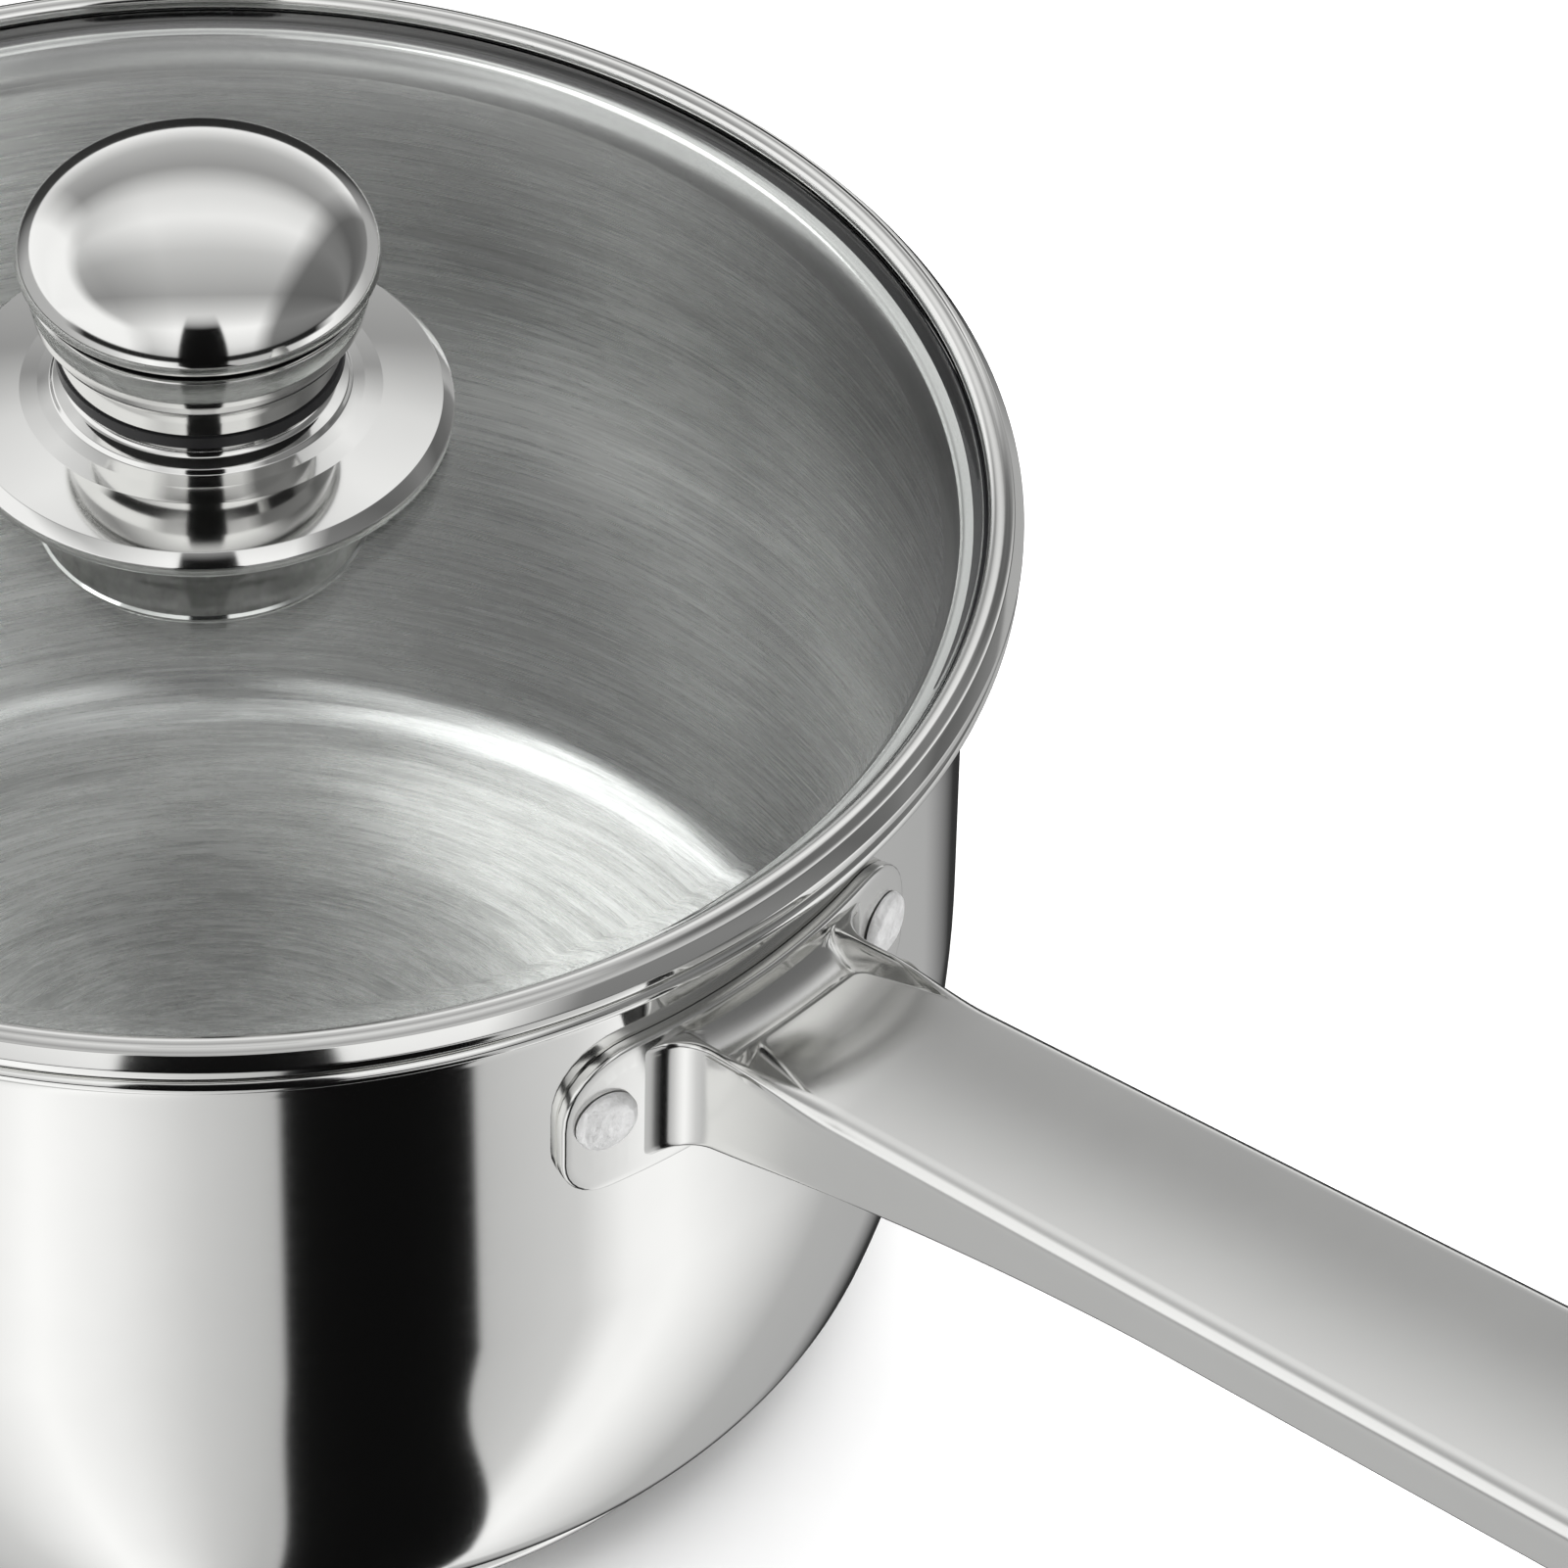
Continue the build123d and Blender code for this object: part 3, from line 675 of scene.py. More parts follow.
def turned(name, outline, body, finish, replaced, sharp=35.0):
    """A finished turned piece."""
    mesh = turned_mesh(name, outline, finish, bpy.context.scene.pan_sizes.segments)
    return keep(name, mesh, body, finish, replaced, sharp)


def second_finish(piece, finish, chosen):
    """Gives the faces that a test chooses another finish."""
    mesh = piece.data
    mesh.materials.append(finish_for(finish))
    for face in mesh.polygons:
        if chosen(face):
            face.material_index = len(mesh.materials) - 1


# ---------------------------------------------------------------- pan


def pan_path(pan):
    """The pan's outer face from the axis to the rim, and where its floor begins to curve up."""
    wall = pan.wall_radius
    flare_turn = 80
    belly_centre = wall - pan.belly_radius
    corner_z = BASE_TOP + pan.corner_radius
    lean = math.degrees(math.asin((pan.belly_height - corner_z) / (pan.belly_radius - pan.corner_radius)))
    corner_r = belly_centre + (pan.belly_radius - pan.corner_radius) * math.cos(math.radians(lean))
    path = [(0.0, BASE_TOP)]
    path += arc((corner_r, corner_z), pan.corner_radius, -90, 90 - lean, 14)
    path += arc((belly_centre, pan.belly_height), pan.belly_radius, -lean, lean, 16)[1:]
    path += arc((wall + pan.flare_radius, pan.flare_height), pan.flare_radius, 180, -flare_turn, 12)
    return path, corner_r


class SAUCEPAN_OT_pan(bpy.types.Operator):
    """Make the drawn pan with its rolled rim, brushed inside"""

    bl_idname = "saucepan.pan"
    bl_label = "Pan body"

    def execute(self, context):
        pan = context.scene.pan_sizes
        path, corner_r = pan_path(pan)
        # the rolled edge replaces the plain end of the sheet
        bead_centre = (RIM_OUTER - pan.rim_bead, RIM_TOP - pan.rim_bead)
        bead = arc(bead_centre, pan.rim_bead, -125, 250, 22)
        inner_face = sheet(path, pan.sheet, cap_steps=1)[len(path) + 1:]
        piece = turned(
            "pan_body", path[:-1] + bead + inner_face, "pan", "steel_polished", ["pot_body"],
        )
        floor_radius = corner_r + pan.corner_radius
        brushed_top = pan.flare_height + 0.5 * MM

        def inside(face):
            out = Vector((face.center.x, face.center.y, 0.0))
            on_wall = face.normal.dot(out.normalized()) < -0.05 and face.center.z < brushed_top
            over_floor = out.length < floor_radius and face.center.z < pan.belly_height
            return on_wall or (over_floor and face.normal.z > 0.3)

        second_finish(piece, "steel_brushed", inside)
        return {"FINISHED"}


class SAUCEPAN_OT_base(bpy.types.Operator):
    """Make the steel cap under the pan"""

    bl_idname = "saucepan.base"
    bl_label = "Base"

    def execute(self, context):
        thickness = 0.6 * MM
        edge = 2.0 * MM
        # the middle is dished, so that the base doesn't rock
        dish = 0.25 * MM
        dish_radius = 0.30 * BASE_RADIUS
        slope = 0.01 * BASE_RADIUS
        path = [(0.0, dish), (dish_radius, dish), (dish_radius + slope, 0.0)]
        path += rounded([
            (dish_radius + 2 * slope, 0.0, 0.0), (BASE_RADIUS, 0.0, edge), (BASE_RADIUS, BASE_TOP, 0.0),
        ], 8)
        turned("base_cap", sheet(path, thickness), "pan", "steel_turned", ["base_shell"])
        return {"FINISHED"}


# ---------------------------------------------------------------- handle


def smooth_step(low, high, value):
    """0 below low, 1 above high, smooth between."""
    t = min(max((value - low) / (high - low), 0.0), 1.0)
    return t * t * (3 - 2 * t)


class HandleShape:
    """Heights and widths along the pressed handle."""

    def __init__(self, scene):
        self.s = scene.pan_handle
        self.wall = scene.pan_sizes.wall_radius
        self.ear = self.wall + self.s.ear_sheet

    def top(self, x):
        """Height of the top face."""
        return self.s.top_height + self.s.slope * (x - self.wall)

    def low(self, x):
        """Height of the lower edge: a curve along the root, then straight."""
        bend = self.wall + self.s.root_length
        if x >= bend:
            return self.top(x) - self.s.depth
        t = (x - self.wall) / self.s.root_length
        depth = (
            self.s.root_depth * 2 * (t - 0.5) * (t - 1)
            - self.s.middle_depth * 4 * t * (t - 1)
            + self.s.depth * 2 * t * (t - 0.5)
        )
        return self.top(x) - depth

    def width(self, x):
        """Half width, rounded at the tip."""
        s = self.s
        slant = (s.tip_half_width - s.half_width) / (HANDLE_TIP - self.wall)
        width = s.half_width + slant * (x - self.wall)
        into = x - (HANDLE_TIP - s.tip_round)
        if into > 0:
            width -= s.tip_round - math.sqrt(max(s.tip_round**2 - into**2, 0.0))
        return width

    def flare(self, x):
        """How far the side walls turn out as they meet the ears."""
        bend = 4.2 * MM
        away = x - self.ear
        if away >= bend:
            return 0.0
        short = bend - max(away, 0.0)
        return bend - math.sqrt(max(bend**2 - short**2, 0.0))

    def wrap(self, x, y):
        """Moves a point at the root back so that the handle meets the round wall all along."""
        fade = 1 - smooth_step(0.0, 9.0 * MM, x - self.ear)
        return x - (self.ear - math.sqrt(self.ear**2 - y**2)) * fade

    def dip(self, x, y):
        """How far the sunken strip and its two grooves lie below the top face."""
        s = self.s
        crest = self.width(x) - 0.7 * MM
        start = self.wall + s.island_start
        share = min(max((x - start) / s.groove_length, 0.0), 1.0)
        island = crest - s.island_side * (1 - share)
        ahead = start - x
        beside = abs(y) - island
        if ahead > 0 and beside > 0:
            off = math.hypot(ahead, beside)
        else:
            corner = 1.6 * MM
            off = max(ahead, beside)
            if ahead > -corner and beside > -corner:
                off = math.hypot(ahead + corner, beside + corner) - corner
        foot = smooth_step(-0.6 * MM, 2.1 * MM, off)
        side = smooth_step(0.0, 1.5 * MM, crest - abs(y))
        fall = min(max((x - self.ear + 1.0 * MM) / (0.8 * s.island_start), 0.0), 1.0)
        return s.valley_depth * foot * side * math.sin(0.5 * math.pi * fall)


def handle_stations(shape):
    """Places along the handle, close together at the root and round the tip."""
    fine_end = shape.wall + 30 * MM
    tip_start = HANDLE_TIP - shape.s.tip_round
    tip_steps = 16
    stations = []
    x = shape.ear - 0.3 * MM
    while x < fine_end:
        stations.append(x)
        x += 0.3 * MM
    while x < tip_start:
        stations.append(x)
        x += 2.0 * MM
    for step in range(tip_steps + 1):
        stations.append(tip_start + shape.s.tip_round * math.sin(math.radians(90 * step / tip_steps)))
    return stations


def handle_section(shape, x):
    """Points (y, z) of the outer face at one station, from the left lower lip to the right one."""
    s = shape.s
    width = shape.width(x) + shape.flare(x)
    top, low = shape.top(x), shape.low(x)
    crisp = 0.7 * MM
    blend = smooth_step(shape.wall + s.island_start, shape.wall + 1.6 * s.groove_length, x)
    crest = min(crisp + (s.shoulder - crisp) * blend, 0.9 * width)
    foot = min(1.2 * MM, 0.9 * width)
    half = [(width - foot - min(1.5 * MM, 0.5 * (width - foot)), low)]
    half += arc((width - foot, low + foot), foot, -90, 90, 6)
    steps = 8
    for step in range(1, steps):
        half.append((width, low + foot + (top - crest - low - foot) * step / steps))
    half += arc((width - crest, top - crest - s.camber * blend), crest, 0, 90, 8)
    inner = width - crest
    across = 56
    for step in range(1, across + 1):
        y = inner * (1 - (step / across) ** 1.7)
        camber = s.camber * (1 - (y / inner) ** 2) * blend
        half.append((y, top - s.camber * blend + camber - shape.dip(x, y)))
    left = [(-y, z) for y, z in half]
    return left + half[-2::-1]


def lofted(name, sections, up, closed=False):
    """An open skin through sections of (x, y, z) points, facing up on the whole, its end closed or not."""
    count = len(sections[0])
    faces = []
    for row in range(len(sections) - 1):
        for first in range(row * count, (row + 1) * count - 1):
            faces.append((first, first + 1, first + count + 1, first + count))
    if closed:
        last = (len(sections) - 1) * count
        faces.append(tuple(range(last, last + count)))
    mesh = bpy.data.meshes.new(name)
    mesh.from_pydata([point for section in sections for point in section], [], faces)
    shape = bmesh.new()
    shape.from_mesh(mesh)
    bmesh.ops.recalc_face_normals(shape, faces=shape.faces)
    if sum(face.normal.dot(Vector(up)) * face.calc_area() for face in shape.faces) < 0:
        bmesh.ops.reverse_faces(shape, faces=shape.faces)
    shape.to_mesh(mesh)
    shape.free()
    return mesh


def cut_faces(shape, faces, place, normal):
    """Cuts some of a shape's faces along a plane and returns all that they became."""
    touched = set(faces)
    for face in faces:
        touched.update(face.edges)
        touched.update(face.verts)
    cut = bmesh.ops.bisect_plane(shape, geom=list(touched), plane_co=place, plane_no=normal)
    return [item for item in cut["geom"] if isinstance(item, bmesh.types.BMFace)]


def eyelet_frame(shape):
    """Place and tilt of the hanging hole: its axis is square to the top face."""
    x = HANDLE_TIP - shape.s.eyelet_inset
    tilt = Matrix.Rotation(-math.atan(shape.s.slope), 4, "Y")
    return Matrix.Translation((x, 0.0, shape.top(x))) @ tilt


def pierced_sheet(skin, thickness, shape, sides=64):
    """A skin with the hanging hole cut in it, chord after chord, and then given thickness inwards."""
    frame = eyelet_frame(shape)
    radius = shape.s.eyelet_bore + 0.7 * MM
    around = radius + 3.0 * MM
    flat = frame.inverted()
    body = bmesh.new()
    body.from_mesh(skin)
    inside = [face for face in body.faces if (flat @ face.calc_center_median()).to_2d().length < around]
    for side in range(sides):
        turn = math.tau * side / sides
        out = frame.to_3x3() @ Vector((math.cos(turn), math.sin(turn), 0.0))
        chord = frame.translation + out * radius
        faces = cut_faces(body, inside, chord, out)
        inside = [face for face in faces if (face.calc_center_median() - chord).dot(out) < 0]
    bmesh.ops.delete(body, geom=inside, context="FACES")
    body.to_mesh(skin)
    body.free()
    outer = bpy.data.objects.new(skin.name, skin)
    bpy.context.collection.objects.link(outer)
    solid = outer.modifiers.new("Sheet", "SOLIDIFY")
    solid.thickness = thickness
    solid.offset = -1.0
    solid.use_even_offset = True
    bpy.context.view_layer.update()
    result = bpy.data.meshes.new_from_object(outer.evaluated_get(bpy.context.evaluated_depsgraph_get()))
    bpy.data.objects.remove(outer)
    return result


def ear_outline(sizes, inset, steps=8):
    """Points (along the wall, z) of the saddle's rounded outline, drawn in by the inset."""
    half, top, low = EAR_HALF - inset, sizes.ear_top - inset, EAR_LOW + inset
    high_round, low_round = sizes.ear_top_round - inset, sizes.ear_low_round - inset
    high_end, low_end = half - high_round, half - low_round
    # the straight runs are divided too, so that they follow the round wall
    runs = 36
    across = [2 * step / runs - 1 for step in range(1, runs)]
    points = arc((low_end, low + low_round), low_round, -90, 90, steps)
    points += arc((high_end, top - high_round), high_round, 0, 90, steps)
    points += [(-high_end * share, top) for share in across]
    points += arc((-high_end, top - high_round), high_round, 90, 90, steps)
    points += arc((-low_end, low + low_round), low_round, 180, 90, steps)
    points += [(low_end * share, low) for share in across]
    return points


def ear_solid(wall, sizes):
    """The closed saddle with its two ears, wrapped round the pan's wall, with softened edges."""
    edge = 0.45 * MM
    gap = 0.05 * MM
    edge_steps = 4
    layers = [(2.0 * MM, gap), (edge * 0.4, gap), (0.0, gap + edge * 0.4)]
    for step in range(edge_steps + 1):
        turn = math.radians(90 * step / edge_steps)
        layers.append((edge * (1 - math.cos(turn)), sizes.ear_sheet - edge + edge * math.sin(turn)))
    layers += [(1.2 * MM, sizes.ear_sheet), (3.0 * MM, sizes.ear_sheet)]
    shape = bmesh.new()
    rows = []
    for inset, lift in layers:
        row = []
        for along, z in ear_outline(sizes, inset):
            angle = along / (wall + sizes.ear_sheet)
            radius = wall + lift
            row.append(shape.verts.new((radius * math.cos(angle), radius * math.sin(angle), z)))
        rows.append(row)
    count = len(rows[0])
    for lower, upper in zip(rows, rows[1:]):
        for n in range(count):
            shape.faces.new((lower[n], lower[(n + 1) % count], upper[(n + 1) % count], upper[n]))
    caps = [shape.faces.new(row) for row in (rows[0], rows[-1])]
    # the two broad faces are cut into upright strips, so that they follow the wall too
    span = max(abs(vertex.co.y) for vertex in rows[0])
    strips = 36
    for step in range(1, strips):
        caps = cut_faces(shape, caps, (0, span * (2 * step / strips - 1), 0), (0, 1, 0))
    bmesh.ops.triangulate(shape, faces=[face for face in shape.faces if len(face.verts) > 4])
    bmesh.ops.recalc_face_normals(shape, faces=shape.faces)
    mesh = bpy.data.meshes.new("ears")
    shape.to_mesh(mesh)
    shape.free()
    return mesh


class SAUCEPAN_OT_handle(bpy.types.Operator):
    """Make the pressed handle with its two ears"""

    bl_idname = "saucepan.handle"
    bl_label = "Handle"

    def execute(self, context):
        shape = HandleShape(context.scene)
        sections = []
        for x in handle_stations(shape):
            sections.append([(shape.wrap(x, y), y, z) for y, z in handle_section(shape, x)])
        skin = lofted("handle_skin", sections, (0.0, 0.0, 1.0), closed=True)
        both = bmesh.new()
        both.from_mesh(pierced_sheet(skin, shape.s.sheet, shape))
        both.from_mesh(ear_solid(shape.wall, shape.s))
        joined = bpy.data.meshes.new("handle_pressed")
        both.to_mesh(joined)
        both.free()
        keep("handle_pressed", joined, "pan", "steel_satin", ["handle_shell"], 32.0)
        return {"FINISHED"}


class SAUCEPAN_OT_handle_floor(bpy.types.Operator):
    """Make the plate that closes the handle from below"""

    bl_idname = "saucepan.handle_floor"
    bl_label = "Handle floor"

    def execute(self, context):
        shape = HandleShape(context.scene)
        thickness = 0.8 * MM
        inset = 0.7 * MM
        across = 12
        sections = []
        x = shape.ear + 0.6 * MM
        while x < HANDLE_TIP - shape.s.sheet - 0.1 * MM:
            half = shape.width(x) - shape.s.sheet * 1.05
            if half > 0.5 * MM:
                z = shape.low(x) + inset
                sections.append([(x, half * (2 * step / across - 1), z) for step in range(across + 1)])
            x += 1.5 * MM
        skin = lofted("plate_skin", sections, (0.0, 0.0, -1.0))
        plate = pierced_sheet(skin, thickness, shape)
        keep("handle_floor", plate, "pan", "steel_turned", ["handle_underplate"])
        return {"FINISHED"}


class SAUCEPAN_OT_eyelet(bpy.types.Operator):
    """Make the rolled eyelet that lines the hanging hole"""

    bl_idname = "saucepan.eyelet"
    bl_label = "Eyelet"

    def execute(self, context):
        shape = HandleShape(context.scene)
        lip = 0.55 * MM
        bore = shape.s.eyelet_bore
        outer = bore + 0.8 * MM
        drop = (shape.s.depth - 0.7 * MM) * math.cos(math.atan(shape.s.slope))
        outline = [(bore, -drop), (bore, 0.0)]
        outline += arc((bore + lip, lip * 0.4), lip, 180, -180, 12)
        outline += [(outer, -0.2 * MM), (outer, -drop + 0.2 * MM)]
        outline += arc((bore + lip, -drop - lip * 0.4), lip, 0, -180, 12)
        outline.append(outline[0])
        mesh = turned_mesh("eyelet", outline, "steel_polished", context.scene.pan_sizes.segments)
        mesh.transform(eyelet_frame(shape))
        keep("handle_eyelet", mesh, "pan", "steel_polished", ["hanging_eyelet"])
        return {"FINISHED"}


class SAUCEPAN_OT_rivets(bpy.types.Operator):
    """Make the two rivets"""

    bl_idname = "saucepan.rivets"
    bl_label = "Rivets"

    def execute(self, context):
        pan, sizes = context.scene.pan_sizes, context.scene.pan_handle
        head, shank = sizes.rivet_head, sizes.rivet_shank
        rise = 1.25 * MM
        seat = 0.1 * MM
        inner = pan.wall_radius - pan.sheet - seat
        outer = pan.wall_radius + sizes.ear_sheet + seat
        # (share of the head's radius, share of its height), from the crown outwards
        set_head = ((0.0, 1.0), (0.6, 0.93), (0.9, 0.6), (1.0, 0.2))
        factory_head = ((0.0, 1.0), (0.35, 1.0), (0.72, 0.9), (0.93, 0.62), (1.0, 0.25))
        outline = [(head * r, inner - rise * z) for r, z in set_head]
        outline += [(head, inner), (shank, inner), (shank, outer), (head, outer)]
        outline += [(head * r, outer + rise * z) for r, z in reversed(factory_head)]
        rivet = turned_mesh("rivet", outline, "rivet_metal", 40)
        rivet.transform(Matrix.Rotation(math.radians(90), 4, "Y"))
        mesh = woven(
            "rivets", rivet, rivet_tree(), count=2, angle=sizes.rivet_angle,
            height=sizes.rivet_height, finish=finish_for("rivet_metal"),
        )
        keep("ear_rivets", mesh, "pan", "rivet_metal", ["rivet_left", "rivet_right"], 50.0)
        return {"FINISHED"}


# ---------------------------------------------------------------- lid


class LidShape:
    """Heights and radii that the ring, the seal and the pane share."""

    def __init__(self, lid):
        self.glass_edge = GLASS_CROWN - lid.glass_rise
        self.flange = RING_TOP - lid.flange_drop
        self.ledge = self.flange - lid.ledge_drop
        self.ledge_outer = GLASS_RADIUS + 0.3 * MM + lid.ring_sheet


class SAUCEPAN_OT_ring(bpy.types.Operator):
    """Make the rolled steel ring of the lid, satin below its flange"""

    bl_idname = "saucepan.ring"
    bl_label = "Lid ring"

    def execute(self, context):
        lid = context.scene.pan_lid
        shape = LidShape(lid)
        inner = GLASS_RADIUS + 0.4 * MM
        crease = RING_OUTER - lid.ring_side
        bead = (crease - inner) / 2
        path = [(inner - 0.1 * MM, shape.glass_edge + 0.05 * MM)]
        path += arc((inner + bead, RING_TOP - bead - 0.1 * MM), bead, 176, -128, 14)
        path += rounded([
            (crease, RING_TOP - 0.75 * MM, 0.0),
            (crease + 0.35 * MM, RING_TOP - 0.85 * MM, 0.3 * MM),
            (RING_OUTER, RING_TOP - 2.2 * MM, 0.5 * MM),
            (RING_OUTER, shape.flange, 0.6 * MM),
            (shape.ledge_outer, shape.flange, 0.3 * MM),
            (shape.ledge_outer, shape.ledge, 0.6 * MM),
            (shape.ledge_outer - lid.ledge_width, shape.ledge, 0.5 * MM),
            (shape.ledge_outer - lid.ledge_width - lid.skirt_width, RING_LOW, 0.0),
        ])
        outline = sheet_right(path, lid.ring_sheet)
        ring = turned("lid_ring_rolled", outline, "lid", "steel_polished", ["lid_ring"])
        second_finish(ring, "steel_satin", lambda face: face.center.z < shape.flange - 0.3 * MM)
        return {"FINISHED"}


class SAUCEPAN_OT_seal(bpy.types.Operator):
    """Make the soft seal between the pane and the ring"""

    bl_idname = "saucepan.seal"
    bl_label = "Pane seal"

    def execute(self, context):
        lid = context.scene.pan_lid
        shape = LidShape(lid)
        foot = GLASS_RADIUS - 1.6 * MM
        top = shape.glass_edge - 0.4 * MM
        under_glass = shape.glass_edge - lid.glass_thickness + 0.05 * MM
        outer = shape.ledge_outer - lid.ring_sheet - 0.02 * MM
        low = shape.ledge + lid.ring_sheet
        outline = [
            (GLASS_RADIUS, top), (GLASS_RADIUS, under_glass), (foot, under_glass), (foot, low),
            (outer, low), (outer, top), (GLASS_RADIUS, top),
        ]
        turned("pane_seal", outline, "lid", "seal", ["lid_seal"])
        return {"FINISHED"}


class SAUCEPAN_OT_pane(bpy.types.Operator):
    """Make the domed pane with its centre hole"""

    bl_idname = "saucepan.pane"
    bl_label = "Pane"

    def execute(self, context):
        lid = context.scene.pan_lid
        rise = lid.glass_rise
        radius = (GLASS_RADIUS**2 + rise**2) / (2 * rise)
        centre_z = GLASS_CROWN - radius
        edge_round = 0.5 * MM
        steps = 40

        def dome(ball, start, end):
            points = []
            for step in range(steps + 1):
                r = start + (end - start) * step / steps
                points.append((r, centre_z + math.sqrt(ball**2 - r**2)))
            return points

        hole = lid.glass_hole
        rim = GLASS_RADIUS - edge_round
        top = dome(radius, hole + edge_round, rim)
        under = dome(radius - lid.glass_thickness, rim, hole + edge_round)
        outline = list(top)
        outline += arc((rim, top[-1][1] - edge_round), edge_round, 70, -70, 4)
        outline += arc((rim, under[0][1] + edge_round), edge_round, 0, -70, 4)
        outline += under
        outline += [(hole, under[-1][1] + edge_round), (hole, top[0][1] - edge_round)]
        outline.append(outline[0])
        turned("lid_pane", outline, "lid", "glass", ["lid_glass"], 60.0)
        return {"FINISHED"}


# ---------------------------------------------------------------- knob


class SAUCEPAN_OT_knob_flange(bpy.types.Operator):
    """Make the knob's bevelled flange with its collar"""

    bl_idname = "saucepan.knob_flange"
    bl_label = "Knob flange"

    def execute(self, context):
        knob = context.scene.pan_knob
        collar = knob.collar_radius
        foot = collar + knob.collar_foot
        foot_z = FLANGE_LOW + 4.1 * MM
        rim = FLANGE_LOW + 0.9 * MM
        bevel = 1.2 * MM
        path = rounded([
            (FLANGE_RADIUS, FLANGE_LOW, 0.0),
            (FLANGE_RADIUS, rim, 0.25 * MM),
            (FLANGE_RADIUS - bevel, rim + bevel, 0.18 * MM),
            (foot + 0.3 * MM, foot_z - 0.85 * MM, 0.6 * MM),
            (foot - 1.6 * MM, foot_z - 0.25 * MM, 1.6 * MM),
            (collar + 2.0 * MM, foot_z + 0.25 * MM, 0.3 * MM),
            (collar + 1.7 * MM, foot_z + 0.75 * MM, 0.3 * MM),
            (collar + 0.1 * MM, foot_z + 1.3 * MM, 0.9 * MM),
            (collar, COLLAR_TOP, 0.25 * MM),
            (SCREW_HOLE, COLLAR_TOP, 0.0),
        ], 5)
        turned("knob_flange", sheet(path, knob.sheet), "lid", "steel_polished", ["knob_base_plate"])
        return {"FINISHED"}


class SAUCEPAN_OT_knob_sleeve(bpy.types.Operator):
    """Make the stepped sleeve below the knob's cap"""

    bl_idname = "saucepan.knob_sleeve"
    bl_label = "Knob sleeve"

    def execute(self, context):
        knob = context.scene.pan_knob
        height = CAP_LOW - CUP_LOW - knob.cap_gap
        path = rounded([
            (5.2 * MM, CUP_LOW, 0.0),
            (knob.cup_foot, CUP_LOW, 0.4 * MM),
            (knob.cup_foot + 0.5 * MM, CUP_LOW + 0.32 * height, 0.3 * MM),
            (knob.cup_foot + 1.5 * MM, CUP_LOW + 0.45 * height, 0.4 * MM),
            (knob.cup_rim - 0.7 * MM, CUP_LOW + 0.62 * height, 0.5 * MM),
            (knob.cup_rim, CUP_LOW + height, 0.0),
        ], 5)
        turned("knob_sleeve", sheet(path, knob.sheet), "lid", "steel_polished", ["knob_cup"])
        return {"FINISHED"}


class SAUCEPAN_OT_knob_cap(bpy.types.Operator):
    """Make the knob's domed cap"""

    bl_idname = "saucepan.knob_cap"
    bl_label = "Knob cap"

    def execute(self, context):
        roll = context.scene.pan_knob.cap_roll
        thickness = 0.6 * MM
        edge_z = CAP_LOW + roll
        rise = CAP_TOP - edge_z
        steps = 40
        path = arc((CAP_RADIUS - roll, edge_z), roll, -90, 90, 8)
        for step in range(1, steps + 1):
            turn = math.radians(90 * step / steps)
            path.append((CAP_RADIUS * math.cos(turn), edge_z + rise * math.sin(turn)))
        turned("knob_dome", sheet(path, thickness), "lid", "steel_polished", ["knob_cap"])
        return {"FINISHED"}


class SAUCEPAN_OT_knob_mouldings(bpy.types.Operator):
    """Make the two black mouldings: the neck inside the sleeve and the washer below it, whose rim stands
    past the sleeve's foot as painted shade
    """

    bl_idname = "saucepan.knob_mouldings"
    bl_label = "Knob mouldings"

    def execute(self, context):
        knob = context.scene.pan_knob
        height = CAP_LOW - CUP_LOW - knob.cap_gap
        neck = knob.cup_rim - knob.neck_depth
        top = CAP_LOW + 3.0 * MM
        floor = CUP_LOW + 0.8 * MM
        bore = 4.2 * MM
        outline = [
            (bore, floor), (13.0 * MM, floor), (13.3 * MM, CUP_LOW + 0.5 * height),
            (neck, CUP_LOW + 0.8 * height), (neck, top), (bore, top), (bore, floor),
        ]
        turned("knob_heart", outline, "lid", "black_plastic", ["knob_core"])

        bore = 4.3 * MM
        # the washer is a real black part, but its rim is set a little past the sleeve's foot so that its
        # black band paints the shade under the sleeve
        rim = knob.cup_foot + 0.2 * MM
        outline = [(bore, COLLAR_TOP), (rim, COLLAR_TOP), (rim, CUP_LOW), (bore, CUP_LOW)]
        outline.append(outline[0])
        turned("knob_washer_black", outline, "lid", "black_plastic", ["knob_spacer"])
        return {"FINISHED"}


class SAUCEPAN_OT_glass_cup(bpy.types.Operator):
    """Make the steel cup under the pane"""

    bl_idname = "saucepan.glass_cup"
    bl_label = "Cup under the pane"

    def execute(self, context):
        outer = UNDER_CUP_RADIUS - 0.3 * MM
        waist = outer - 1.2 * MM
        depth = UNDER_CUP_TOP - UNDER_CUP_LOW
        path = rounded([
            (SCREW_HOLE, UNDER_CUP_TOP, 0.0),
            (waist, UNDER_CUP_TOP, 2.2 * MM),
            (waist + 0.2 * MM, UNDER_CUP_TOP - 0.42 * depth, 0.4 * MM),
            (outer - 0.3 * MM, UNDER_CUP_TOP - 0.5 * depth, 0.4 * MM),
            (outer, UNDER_CUP_LOW + 1.0 * MM, 0.0),
        ], 6)
        path += arc((outer - 0.2 * MM, UNDER_CUP_LOW + 0.55 * MM), 0.5 * MM, 20, -200, 8)
        turned("glass_cup", sheet_right(path, 0.5 * MM), "lid", "steel_polished", ["under_cup"])
        return {"FINISHED"}


